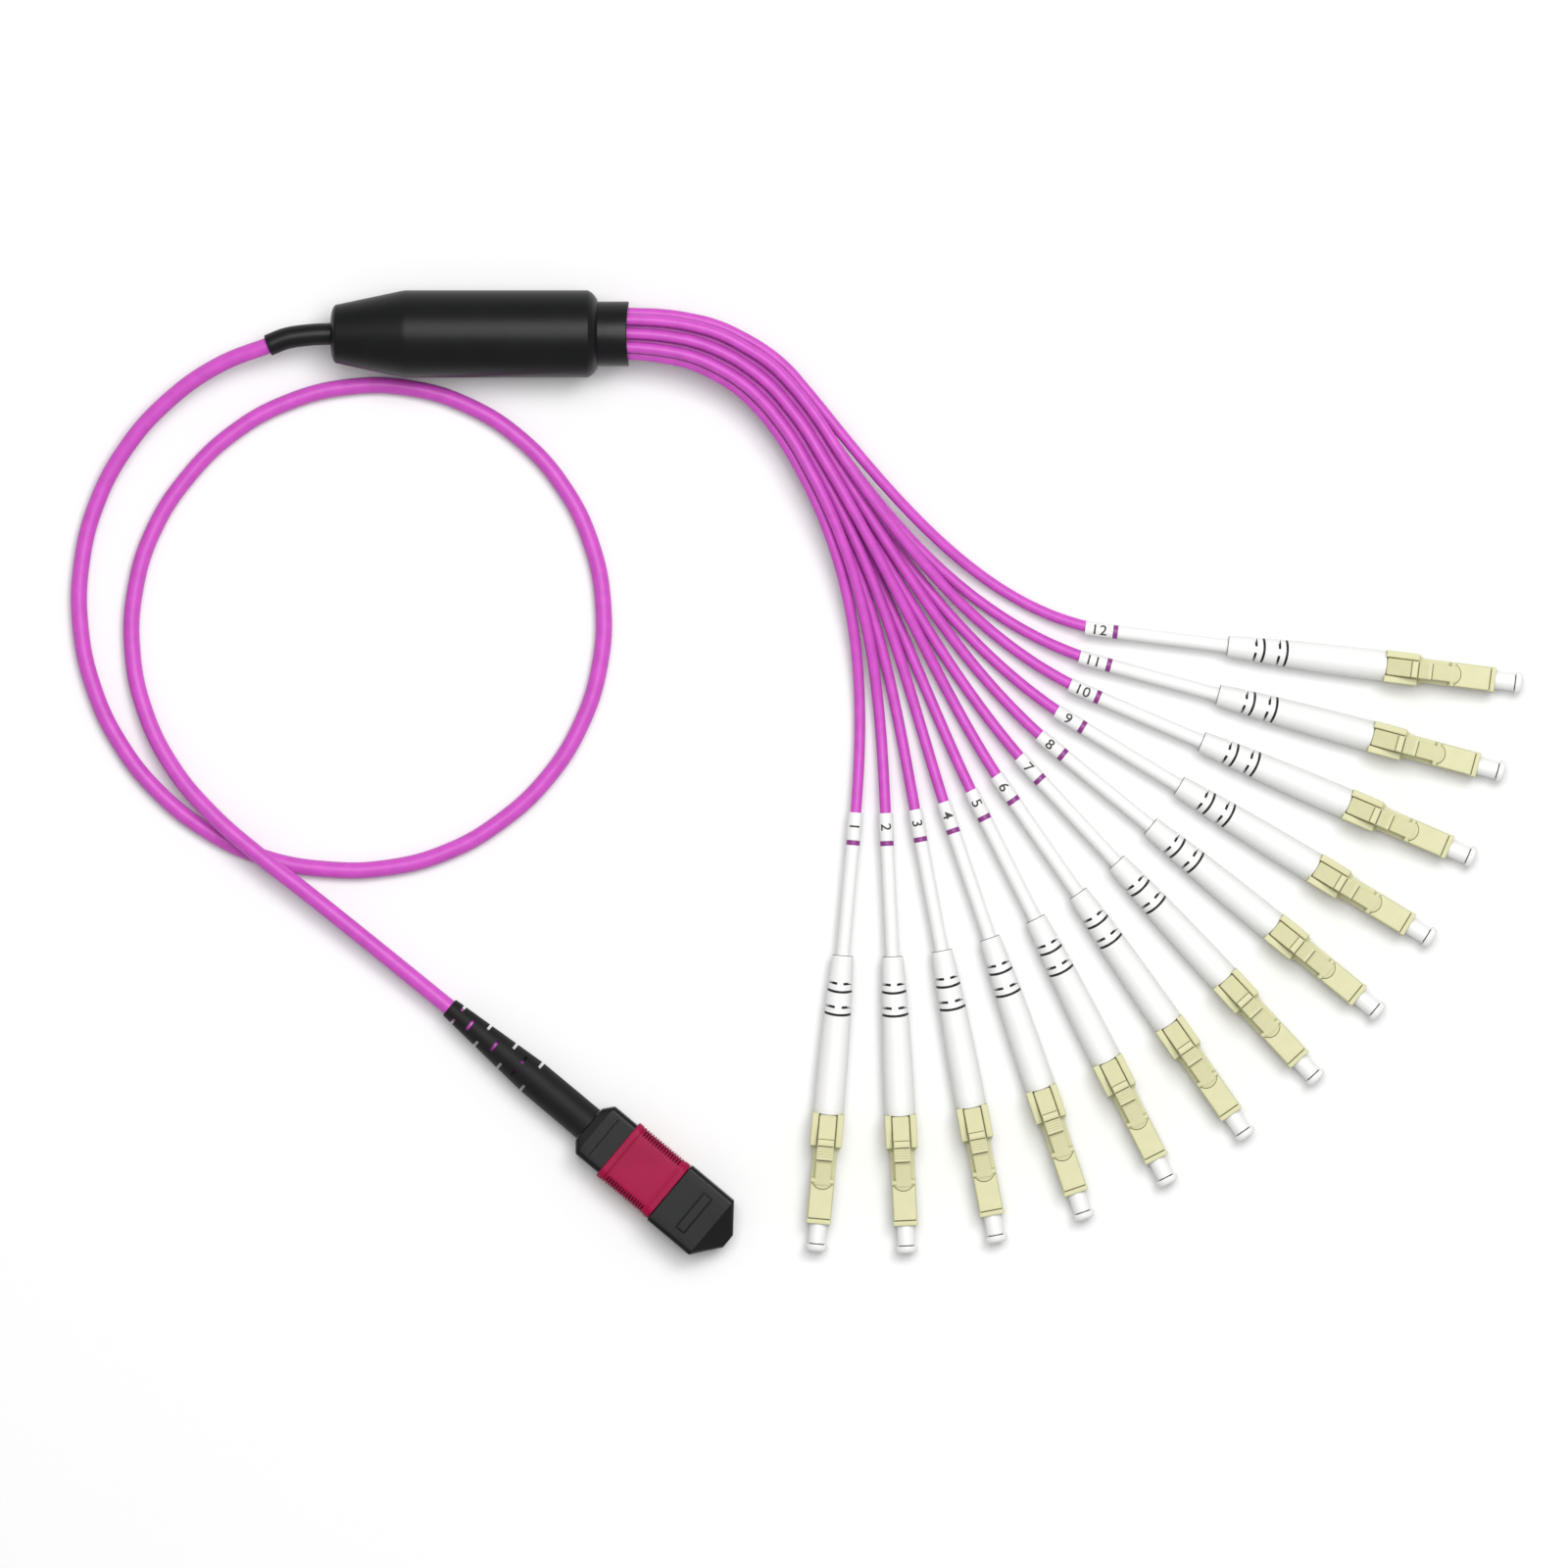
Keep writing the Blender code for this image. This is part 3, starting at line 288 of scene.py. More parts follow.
def moulded(name, colour, roughness, mottle=0.05, mottle_scale=250.0, grain=0.2,
            grain_scale=5000.0, grain_depth=0.00002, stretch=(1.0, 1.0, 1.0), specular=0.5,
            coat=0.0, subsurface=0.0):
    """A moulded or drawn plastic: broad colour drift, uneven gloss and a fine surface grain."""
    material = bpy.data.materials.new(name)
    material.use_nodes = True
    nodes, links = material.node_tree.nodes, material.node_tree.links
    shader = nodes["Principled BSDF"]
    shader.inputs["Specular IOR Level"].default_value = specular
    shader.inputs["Coat Weight"].default_value = coat
    shader.inputs["Coat Roughness"].default_value = 0.25
    if subsurface > 0.0:
        shader.inputs["Subsurface Weight"].default_value = subsurface
        shader.inputs["Subsurface Radius"].default_value = (0.6, 0.5, 0.4)
        shader.inputs["Subsurface Scale"].default_value = 0.0008
    where = nodes.new("ShaderNodeTexCoord")
    spread = nodes.new("ShaderNodeMapping")
    spread.inputs["Scale"].default_value = stretch
    links.new(where.outputs["Object"], spread.inputs["Vector"])
    broad = nodes.new("ShaderNodeTexNoise")
    broad.inputs["Scale"].default_value = mottle_scale
    broad.inputs["Detail"].default_value = 4.0
    links.new(spread.outputs["Vector"], broad.inputs["Vector"])
    tint = nodes.new("ShaderNodeValToRGB")
    tint.color_ramp.elements[0].position = 0.30
    tint.color_ramp.elements[1].position = 0.70
    tint.color_ramp.elements[0].color = (*[value * (1.0 - mottle) for value in colour], 1.0)
    tint.color_ramp.elements[1].color = (*[min(value * (1.0 + mottle), 1.0) for value in colour],
                                         1.0)
    links.new(broad.outputs["Fac"], tint.inputs["Fac"])
    links.new(tint.outputs["Color"], shader.inputs["Base Color"])
    fine = nodes.new("ShaderNodeTexNoise")
    fine.inputs["Scale"].default_value = grain_scale
    fine.inputs["Detail"].default_value = 3.0
    links.new(spread.outputs["Vector"], fine.inputs["Vector"])
    gloss = nodes.new("ShaderNodeMapRange")
    gloss.inputs["To Min"].default_value = roughness * (1.0 - grain)
    gloss.inputs["To Max"].default_value = roughness * (1.0 + grain)
    links.new(fine.outputs["Fac"], gloss.inputs["Value"])
    links.new(gloss.outputs["Result"], shader.inputs["Roughness"])
    bump = nodes.new("ShaderNodeBump")
    bump.inputs["Strength"].default_value = 0.5
    bump.inputs["Distance"].default_value = grain_depth
    links.new(fine.outputs["Fac"], bump.inputs["Height"])
    links.new(bump.outputs["Normal"], shader.inputs["Normal"])
    return material


MATERIALS = {
    "violet": moulded("violet_jacket", (0.49, 0.064, 0.435), 0.42, mottle=0.08, mottle_scale=420.0,
                      grain_scale=3600.0, specular=0.3, coat=0.06),
    "band": moulded("violet_band", (0.20, 0.020, 0.185), 0.45, mottle=0.10),
    "black": moulded("black_plastic", (0.0050, 0.0053, 0.0055), 0.37, mottle=0.15,
                     grain_scale=7000.0, specular=0.17),
    "tube": moulded("black_tube", (0.0050, 0.0050, 0.0055), 0.36, mottle=0.20, mottle_scale=500.0,
                    stretch=(0.3, 1.0, 1.0), specular=0.21),
    "rubber": moulded("black_rubber", (0.0070, 0.0070, 0.0075), 0.55, mottle=0.15,
                      grain_depth=0.00003, specular=0.17),
    "crimson": moulded("crimson_plastic", (0.275, 0.005, 0.045), 0.42, mottle=0.07,
                       mottle_scale=180.0, specular=0.10),
    "polymer": moulded("ferrule_polymer", (0.035, 0.036, 0.040), 0.35, mottle=0.2,
                       grain_scale=9000.0),
    "white": moulded("white_boot", (0.71, 0.71, 0.70), 0.48, mottle=0.012, subsurface=0.1),
    # Painted shade: a dark colour for the floors and walls of the LC boot's slots
    "slot": moulded("slot_shade", (0.030, 0.030, 0.029), 0.7, mottle=0.3),
    # Painted shade: a dark colour for the LC boot's rear step and the floor of the cap's groove
    "shade": moulded("groove_shade", (0.085, 0.085, 0.083), 0.7, mottle=0.2, specular=0.2),
    # Painted shade: a dark crimson for the floors of the coupling's grip grooves
    "groove": moulded("crimson_groove_shade", (0.03, 0.001, 0.005), 0.6, mottle=0.3, specular=0.1),
    "beige": moulded("beige_plastic", (0.535, 0.525, 0.305), 0.42, mottle=0.03, mottle_scale=350.0,
                     specular=0.35),
    # Painted shade: thin dark lines on the LC plug where gaps and steps lie in shadow
    "painted_shade_line": moulded("beige_painted_shade", (0.10, 0.093, 0.042), 0.6, mottle=0.2, specular=0.2),
    "cap": moulded("white_cap", (0.72, 0.72, 0.71), 0.40, mottle=0.01, subsurface=0.15),
    "ceramic": moulded("white_ceramic", (0.70, 0.69, 0.66), 0.15, mottle=0.01,
                       grain_depth=0.000002),
    "ink": moulded("marker_ink", (0.030, 0.024, 0.022), 0.6, mottle=0.4, mottle_scale=2500.0),
    "glass": moulded("fibre_end", (0.55, 0.58, 0.60), 0.1, mottle=0.05),
    "steel": moulded("guide_pin", (0.55, 0.55, 0.56), 0.25, mottle=0.03),
}
MATERIALS["steel"].node_tree.nodes["Principled BSDF"].inputs["Metallic"].default_value = 1.0


# Mesh tools, in millimetres, each shape with its length along local +X


def bridge(bm, ring, following):
    """Faces between two rings, either of which may be a single point."""
    count = max(len(ring), len(following))
    for index in range(count):
        after = (index + 1) % count
        corners = [ring[index % len(ring)], ring[after % len(ring)],
                   following[after % len(following)], following[index % len(following)]]
        bm.faces.new(list(dict.fromkeys(corners)))


def add_rings(bm, rings, closed=False):
    """Skin a row of rings, with a face over either end, or closed into a loop."""
    made = [[bm.verts.new(point) for point in ring] for ring in rings]
    for ring, following in zip(made, made[1:] + made[:1] if closed else made[1:]):
        bridge(bm, ring, following)
    if not closed:
        for ring in (made[0], made[-1]):
            if len(ring) > 2:
                bm.faces.new(ring)
    return made


def circle(x, radius, count=TURN):
    """A ring round the axis, or a single point where the radius is nothing."""
    if radius <= 0.0:
        return [(x, 0.0, 0.0)]
    return [(x, radius * math.cos(math.tau * step / count),
             radius * math.sin(math.tau * step / count)) for step in range(count)]


def softened(corners, steps=4):
    """A profile of (x, radius, fillet) corners with each corner rounded by its fillet."""
    profile = []
    for index, (x, radius, fillet) in enumerate(corners):
        if fillet <= 0.0 or index in (0, len(corners) - 1):
            profile.append((x, radius))
            continue
        here = Vector((x, radius))
        before = Vector(corners[index - 1][:2]) - here
        after = Vector(corners[index + 1][:2]) - here
        reach = min(fillet, before.length / 2, after.length / 2)
        start = here + before.normalized() * reach
        end = here + after.normalized() * reach
        for step in range(steps + 1):
            t = step / steps
            point = start * (1 - t) ** 2 + here * 2 * t * (1 - t) + end * t ** 2
            profile.append((point.x, point.y))
    return profile


def bowed(ring, bow, half_width):
    """The ring moved along X by the bow at its middle and by nothing at its half width."""
    return [(x + bow * (1.0 - (y / half_width) ** 2), y, z) for x, y, z in ring]


def add_turned(bm, corners, count=TURN, closed=False):
    """Turn a profile of (x, radius, fillet) corners round the axis."""
    add_rings(bm, [circle(x, radius, count) for x, radius in softened(corners)], closed)


def add_rod(bm, x_range, radius, fillet, count):
    """A solid rod, its far edge rounded."""
    start, end = x_range
    add_turned(bm, [(start, 0.0, 0.0), (start, radius, 0.0), (end, radius, fillet),
                    (end, 0.0, 0.0)], count)


def add_tube(bm, x_range, inner, outer, fillets):
    """An open tube, with a fillet on the outer edge at either end."""
    start, end = x_range
    add_turned(bm, [(start, inner, 0.0), (start, outer, fillets[0]), (end, outer, fillets[1]),
                    (end, inner, 0.0)], TUBE_TURN, closed=True)


def rectangle(y_range, z_range, radius, corner_steps=4, side_steps=6):
    """A rounded rectangle across the axis, as (y, z) points with some along each side."""
    corners = []
    for quarter, (y, z) in enumerate(((1, 1), (0, 1), (0, 0), (1, 0))):
        middle = (y_range[y] + (radius if y == 0 else -radius),
                  z_range[z] + (radius if z == 0 else -radius))
        corners.append([(middle[0] + radius * math.cos(math.pi / 2 * (quarter + s / corner_steps)),
                         middle[1] + radius * math.sin(math.pi / 2 * (quarter + s / corner_steps)))
                        for s in range(corner_steps + 1)])
    points = []
    for here, following in zip(corners, corners[1:] + corners[:1]):
        points += here
        start, end = Vector(here[-1]), Vector(following[0])
        points += [tuple(start.lerp(end, step / side_steps)) for step in range(1, side_steps)]
    return points


def box_ring(x, y_range, z_range, radius, corner_steps=4):
    """A rounded rectangle as a ring at one place along the axis."""
    return [(x, y, z) for y, z in rectangle(y_range, z_range, radius, corner_steps)]


def loft_rectangles(bm, sections):
    """Skin rounded rectangles given as (x, width, height, corner radius)."""
    add_rings(bm, [box_ring(x, (-width / 2, width / 2), (-height / 2, height / 2), radius)
                   for x, width, height, radius in sections])


def add_block(bm, x_range, y_range, z_range, corner, bevel, dent=0.0):
    """A block with rounded edges; dent hollows its rear end in plan."""
    half = (y_range[1] - y_range[0]) / 2
    middle = (y_range[0] + y_range[1]) / 2
    steps = 3
    rear = []
    front = []
    for step in range(steps + 1):
        angle = math.pi / 2 * step / steps
        inset = bevel * (1.0 - math.sin(angle))
        along = bevel * (1.0 - math.cos(angle))
        outline = rectangle((y_range[0] + inset, y_range[1] - inset),
                            (z_range[0] + inset, z_range[1] - inset),
                            max(corner - inset, LEAST_CORNER))
        rear.append([(x_range[0] + along + dent * (1.0 - ((y - middle) / half) ** 2), y, z)
                     for y, z in outline])
        front.append([(x_range[1] - along, y, z) for y, z in outline])
    add_rings(bm, rear + front[::-1])


def add_plate(bm, outline, y_range, bevel=0.1):
    """A side outline of (x, z) points extruded across Y, its edges bevelled."""
    part = bmesh.new()
    face = part.faces.new([part.verts.new((x, y_range[0], z)) for x, z in outline])
    grown = bmesh.ops.extrude_face_region(part, geom=[face])
    moved = [item for item in grown["geom"] if isinstance(item, bmesh.types.BMVert)]
    bmesh.ops.translate(part, verts=moved, vec=(0, y_range[1] - y_range[0], 0))
    bmesh.ops.recalc_face_normals(part, faces=part.faces)
    bmesh.ops.bevel(part, geom=part.edges[:], offset=bevel, segments=2, affect="EDGES")
    mesh = bpy.data.meshes.new("plate")
    part.to_mesh(mesh)
    part.free()
    bm.from_mesh(mesh)
    bpy.data.meshes.remove(mesh)


def finished(bm, name, materials):
    """A mesh in metres, smooth except at its sharp edges, with its materials."""
    bmesh.ops.scale(bm, vec=(MM, MM, MM), verts=bm.verts)
    bmesh.ops.recalc_face_normals(bm, faces=bm.faces)
    mesh = bpy.data.meshes.new(name)
    bm.to_mesh(mesh)
    bm.free()
    for material in materials:
        mesh.materials.append(MATERIALS[material])
    mesh.shade_smooth()
    mesh.set_sharp_from_angle(angle=SMOOTH_ANGLE)
    return mesh


def carved(mesh, cutters):
    """The mesh with boxes of (x, y, z) ranges in millimetres cut out of it."""
    bm = bmesh.new()
    for ranges in cutters:
        corners = [bm.verts.new((x * MM, y * MM, z * MM))
                   for x in ranges[0] for y in ranges[1] for z in ranges[2]]
        bmesh.ops.convex_hull(bm, input=corners)
    bmesh.ops.recalc_face_normals(bm, faces=bm.faces)
    cutter_mesh = bpy.data.meshes.new("cutter")
    bm.to_mesh(cutter_mesh)
    bm.free()
    cutter = bpy.data.objects.new("cutter", cutter_mesh)
    body = bpy.data.objects.new("body", mesh)
    for item in (cutter, body):
        bpy.context.collection.objects.link(item)
    modifier = body.modifiers.new("carve", "BOOLEAN")
    modifier.operation = "DIFFERENCE"
    modifier.solver = "EXACT"
    modifier.use_self = True
    modifier.object = cutter
    result = bpy.data.meshes.new_from_object(
        body.evaluated_get(bpy.context.evaluated_depsgraph_get()))
    result.name = mesh.name
    for item in (cutter, body):
        bpy.data.objects.remove(item, do_unlink=True)
    bpy.data.meshes.remove(cutter_mesh)
    result.shade_smooth()
    result.set_sharp_from_angle(angle=SMOOTH_ANGLE)
    return result


def reopened(mesh):
    """A finished mesh opened again in millimetres, to add to it."""
    bm = bmesh.new()
    bm.from_mesh(mesh)
    bmesh.ops.scale(bm, vec=(1 / MM, 1 / MM, 1 / MM), verts=bm.verts)
    return bm


def piece(name, mesh, where, body, slot, *nodes, even=False):
    """A piece of the object, put in place and riding on its body."""
    item = bpy.data.objects.new(name, mesh)
    item.matrix_world = where
    bpy.context.collection.objects.link(item)
    if even:
        modifier = item.modifiers.new("even_faces", "WEIGHTED_NORMAL")
        modifier.keep_sharp = True
    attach(item, body)
    if nodes:
        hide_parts(*nodes)
    return item


def cord_piece(name, route, diameter, node):
    """A round cord on a smooth curve through the route's points."""
    curve = bpy.data.curves.new(name, "CURVE")
    curve.dimensions = "3D"
    curve.resolution_u = 8
    curve.bevel_depth = diameter / 2
    curve.bevel_resolution = 6
    curve.use_fill_caps = True
    spline = curve.splines.new("BEZIER")
    spline.bezier_points.add(len(route) - 1)
    for point, place_at in zip(spline.bezier_points, route):
        point.co = place_at
        point.handle_left_type = "AUTO"
        point.handle_right_type = "AUTO"
    curve.materials.append(MATERIALS["violet"])
    item = bpy.data.objects.new(name, curve)
    bpy.context.collection.objects.link(item)
    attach(item, "cable")
    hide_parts(node)
    return item


# Camera, floor and light


def build_camera():
    """High above the middle of the picture and looking straight down, with a long lens."""
    camera = bpy.data.objects.new("camera", bpy.data.cameras.new("camera"))
    camera.data.sensor_width = SENSOR_WIDTH
    camera.data.lens = SENSOR_WIDTH * (CAMERA_HEIGHT - PICTURE_LEVEL) / PICTURE_WIDTH
    camera.data.clip_end = 20.0
    camera.location = (*PICTURE_CENTRE, CAMERA_HEIGHT)
    bpy.context.collection.objects.link(camera)
    bpy.context.scene.camera = camera


def add_lamp(name, location, target, width, depth, power):
    """A rectangular lamp that points at its target and isn't seen itself."""
    light = bpy.data.lights.new(name, "AREA")
    light.shape = "RECTANGLE"
    light.size = width
    light.size_y = depth
    light.energy = power
    item = bpy.data.objects.new(name, light)
    item.location = location
    item.rotation_euler = (Vector(target) - Vector(location)).to_track_quat("-Z", "Y").to_euler()
    item.visible_camera = False
    bpy.context.collection.objects.link(item)


def build_studio():
    """A wide pale floor under an even sky and two lamps."""
    floor_mesh = bpy.data.meshes.new("floor")
    corners = [(x * FLOOR_REACH, y * FLOOR_REACH, FLOOR_LEVEL)
               for x, y in ((-1, -1), (1, -1), (1, 1), (-1, 1))]
    floor_mesh.from_pydata(corners, [], [(0, 1, 2, 3)])
    floor_mesh.materials.append(moulded("pale_floor", FLOOR_COLOUR, 0.70, mottle=0.005,
                                        mottle_scale=3.0, grain_scale=400.0, specular=0.2))
    floor = bpy.data.objects.new("floor", floor_mesh)
    bpy.context.collection.objects.link(floor)
    world = bpy.data.worlds.new("studio")
    world.use_nodes = True
    background = world.node_tree.nodes["Background"]
    background.inputs["Color"].default_value = (1.0, 1.0, 1.0, 1.0)
    background.inputs["Strength"].default_value = SKY_STRENGTH
    bpy.context.scene.world = world
    bpy.context.scene.view_settings.view_transform = "Standard"
    add_lamp("overhead", *OVERHEAD_LAMP)
    add_lamp("key", *KEY_LAMP)


# Trunk, sleeve, fanout housing and collar


def sleeve_centreline():
    return [HOUSING_PLACE @ Vector(point) for point in [(SLEEVE_SEAT, 0.0, 0.0), *SLEEVE_ROUTE]]


def build_trunk():
    """The trunk from just inside the sleeve to just inside the MPO boot."""
    sleeve = sleeve_centreline()
    leaving = (sleeve[-1] - sleeve[-2]).normalized()
    inside = 0.0012
    arriving = MPO_PLACE @ Vector((inside, 0.0, 0.0))
    route = smooth_route([sleeve[-1] - leaving * inside, *TRUNK_ROUTE, arriving], TRUNK_POINTS)
    trunk = cord_piece("trunk", route, TRUNK_DIAMETER, "trunk_cable")
    return trunk, sleeve[-1], route_length(route)


def build_sleeve():
    """A shrunk-on tube along the trunk's way out of the housing, open at its far end."""
    route = smooth_route(sleeve_centreline(), SLEEVE_POINTS)
    end = SLEEVE_POINTS - 1
    outer = 2.0
    stations = [(position, outer) for position in range(end - 1)]
    stations += [(end - 0.6, outer), (end, 1.93), (end, 1.66), (end - 0.6, 1.58), (end - 6, 1.56)]
    bm = bmesh.new()
    rings = []
    for position, radius in stations:
        index = min(int(position), end - 1)
        middle = route[index].lerp(route[index + 1], position - index)
        ahead = (route[index + 1] - route[index]).normalized()
        side = ahead.cross(Vector((0.0, 0.0, 1.0))).normalized()
        up = side.cross(ahead)
        ring = []
        for step in range(TUBE_TURN):
            angle = math.tau * step / TUBE_TURN
            offset = side * math.cos(angle) + up * math.sin(angle)
            ring.append((middle + offset * radius * MM) / MM)
        rings.append(ring)
    add_rings(bm, rings)
    piece("sleeve", finished(bm, "sleeve", ["tube"]), Matrix.Identity(4), "cable", "black_tube",
          "trunk_sleeve")


def build_fanout():
    """A turned housing with a seat at either end, and the collar, its far edge bowed in plan."""
    bore, bore_floor = 2.25, 3.0
    seat, seat_floor = 6.20, 45.55
    swell_depth, swell_rise, swell_steps = 1.1, 3.10, 12
    swell = []
    for step in range(1, swell_steps):
        angle = math.pi / 2 * step / swell_steps
        swell.append((swell_depth - swell_depth * math.cos(angle),
                      bore + swell_rise * math.sin(angle), 0.0))
    bm = bmesh.new()
    add_turned(bm, [(bore_floor, 0.0, 0.0), (bore_floor, bore, 0.0), (0.0, bore, 0.0), *swell,
                    (1.35, 5.40, 0.3), (13.4, 7.95, 0.6), (46.85, 7.95, 0.25), (47.75, 7.38, 0.5),
                    (48.30, 6.60, 0.4), (48.55, seat, 0.10), (seat_floor, seat, 0.0),
                    (seat_floor, 0.0, 0.0)], count=160)
    piece("fanout_shell", finished(bm, "fanout_shell", ["black"]), HOUSING_PLACE, "cable",
          "black_plastic", "fanout_housing")
    start, end, floor = 45.85, 54.30, 47.0
    outer, inner = 5.90, 5.50
    bow = 0.45
    rings = [circle(start, 0.0)]
    for x, radius in softened([(start, 5.45, 0.0), (start, outer, 0.1), (end, outer, 0.2),
                               (end, inner, 0.1), (floor, inner, 0.0), (floor, 0.0, 0.0)]):
        ring = circle(x, radius)
        rings.append(bowed(ring, -bow, outer) if x > (start + end) / 2 else ring)
    bm = bmesh.new()
    add_rings(bm, rings)
    piece("collar", finished(bm, "collar", ["tube"]), HOUSING_PLACE, "cable", "black_tube",
          "leg_collar")


# LC plug


def boot_radius(x):
    """The boot swells quickly at first and then less and less."""
    share = min((x - TAIL_END) / (BODY - TAIL_END), 1.0)
    return BOOT_REAR + (BOOT_FRONT - BOOT_REAR) * share * (2.0 - share)


def boot_stations():
    """Where the boot's rings lie along its axis, each with the kind of slot that it is in."""
    stations = [(x, None) for x in (27.0, 28.0, 29.5, 34.1, 38.5, 41.0, 44.0, 47.0, 50.0, 53.0)]
    for middle, kind in BOOT_SLOTS:
        start = middle - SLOT_HALF_WIDTH
        end = middle + SLOT_HALF_WIDTH
        stations += [(start, None), (start + SLOT_EDGE, kind), (end - SLOT_EDGE, kind), (end, None)]
    return sorted(stations, key=lambda station: station[0])


def slot_is_open(kind, angle):
    """Slots beside leave a bridge above and below, and slots above leave one on either side."""
    from_top = abs(math.degrees(math.atan2(math.cos(angle), math.sin(angle))))
    if kind == "beside":
        return TOP_BRIDGE < from_top < 180.0 - TOP_BRIDGE
    return kind == "above" and abs(from_top - 90.0) > SIDE_BRIDGE


def lc_boot_mesh():
    """Tail tube and boot, the boot's slots as grooves with painted shade on their floor and walls,
    and a ring of painted shade at the boot's rear step.
    """
    bm = bmesh.new()
    add_tube(bm, (BAND_END, TAIL_END + 0.5), 0.9, TAIL_RADIUS, (0.08, 0.0))
    rings = [circle(TAIL_END, TAIL_RADIUS), circle(TAIL_END, BOOT_REAR - 0.14),
             circle(TAIL_END + 0.12, BOOT_REAR - 0.03),
             circle(TAIL_END + 0.2, boot_radius(TAIL_END + 0.2))]
    deep = []
    for x, kind in boot_stations():
        ring = []
        for step in range(TURN):
            angle = math.tau * step / TURN
            radius = boot_radius(x)
            if slot_is_open(kind, angle):
                radius -= SLOT_DEPTH
                deep.append((len(rings), step))
            bow = SLOT_BOW * math.sin(angle) ** 2 if BOW_FROM < x < BOW_TO else 0.0
            ring.append((x + bow, radius * math.cos(angle), radius * math.sin(angle)))
        rings.append(ring)
    for x, radius in ((BODY - 0.15, BOOT_FRONT), (BODY - 0.03, BOOT_FRONT - 0.04),
                      (BODY, BOOT_FRONT - 0.12)):
        rings.append(bowed(circle(x, radius), BOOT_BULGE, LC_HALF_REAR))
    rings.append([(BODY + BOOT_BULGE, 0.0, 0.0)])
    made = add_rings(bm, rings)
    slot_verts = {made[row][step] for row, step in deep}
    rear_verts = {*made[1], *made[2]}
    # Slot faces get painted shade, and the faces of the boot's rear step a ring of painted shade
    for face in bm.faces:
        if sum(vert in slot_verts for vert in face.verts) >= 2:
            face.material_index = 1
        elif all(vert in rear_verts for vert in face.verts):
            face.material_index = 2
    return finished(bm, "lc_boot", ["white", "slot", "shade"])


def add_rear(bm):
    """Rear block with a rail along either side, and the shoulder that narrows to the neck."""
    end = SHOULDER - 0.15
    half = LC_HALF_REAR
    trough = 0.9
    add_block(bm, (BODY, end), (-half, half), (-half, trough), 0.35, 0.18, dent=0.38)
    for side in (-1, 1):
        rail = sorted((side * RAIL_INNER, side * half))
        add_block(bm, (BODY + 0.02, end), rail, (0.0, half), 0.22, 0.14, dent=0.12)
    add_rings(bm, [box_ring(x, (-half_width, half_width), (-half_width, top), 0.3)
                   for x, half_width, top in (
                       (end - 0.3, 2.80, 0.86), (SHOULDER, 2.74, 0.84),
                       (SHOULDER + 0.55, 2.34, 1.00), (SHOULDER + 0.62, 2.26, 1.00))])


def add_front(bm):
    """Neck and nose with the round socket in the front face, and a proud lip at the end."""
    half = LC_HALF_FRONT
    lip = 0.08

    def outline(x, inset, level):
        return box_ring(x, (-half + inset, half - inset), (-half + inset, level - inset),
                        max(NOSE_CORNER - inset, 0.03))

    def socket_ring(x, radius):
        """A circle whose points lie in the same directions as the outline's."""
        ring = []
        for _, y, z in box_ring(x, (-half, half), (-half, NOSE_TOP), NOSE_CORNER):
            away = Vector((y, z)).normalized() * radius
            ring.append((x, away.x, away.y))
        return ring

    rings = [outline(*section) for section in (
        (SHOULDER + 0.3, lip, NECK_TOP), (66.70, lip, NECK_TOP), (66.85, lip, NOSE_TOP),
        (RAISED_END + 0.16, lip, NOSE_TOP), (RAISED_END + 0.22, 0.02, NOSE_TOP),
        (RAISED_END + 0.30, 0.0, NOSE_TOP), (FRONT - 0.12, 0.0, NOSE_TOP),
        (FRONT - 0.04, 0.03, NOSE_TOP), (FRONT, 0.12, NOSE_TOP))]
    rings += [socket_ring(FRONT, SOCKET_MOUTH), socket_ring(FRONT - 0.10, SOCKET_RADIUS),
              socket_ring(SOCKET_FLOOR, SOCKET_RADIUS)]
    add_rings(bm, rings)


def latch_arc(radius):
    """The leading edge of the latch in plan."""
    centre, half_arc, steps = 66.95, 62, 12
    angles = [math.radians(-half_arc + 2 * half_arc * index / steps) for index in range(steps + 1)]
    return [(centre + radius * math.cos(angle), radius * math.sin(angle)) for angle in angles]


def add_latch_root(bm):
    """The front of the latch in plan: wider than the arm, its leading edge an arc."""
    rear = 67.0
    slope = 0.17
    outline = latch_arc(1.95)
    outline += [(67.2, 1.66), (rear, LATCH_HALF), (rear, -LATCH_HALF), (67.2, -1.66)]
    rings = []
    for z, inset in ((LATCH_FOOT, 0.0), (2.92, 0.0), (3.02, 0.06), (3.05, 0.16)):
        ring = []
        for x, y in outline:
            toward = Vector((RAISED - x, -y)).normalized() * inset
            drop = (x - rear) * slope if z > LATCH_FOOT else 0.0
            ring.append((x + toward.x, y + toward.y, z - drop))
        rings.append(ring)
    add_rings(bm, rings)


def add_latch(bm):
    """Latch arm, rounded where it joins the raised block, and its two pegs."""
    front = RAISED + 0.25
    rear = 63.35
    add_plate(bm, [(front, LATCH_FOOT), (front, 3.10), (67.0, 3.30), (rear, 4.05), (rear, 3.40),
                   (66.9, 2.60), (RAISED, 2.35)], (-LATCH_HALF, LATCH_HALF))
    add_latch_root(bm)
    for side in (-1, 1):
        peg = []
        for across, radius in ((1.1, 0.45), (1.95, 0.45), (2.10, 0.40), (2.17, 0.25), (2.18, 0.0)):
            peg.append([(67.4 + z, side * across, 2.78 + y) for _, y, z in circle(0.0, radius, 24)])
        add_rings(bm, peg)


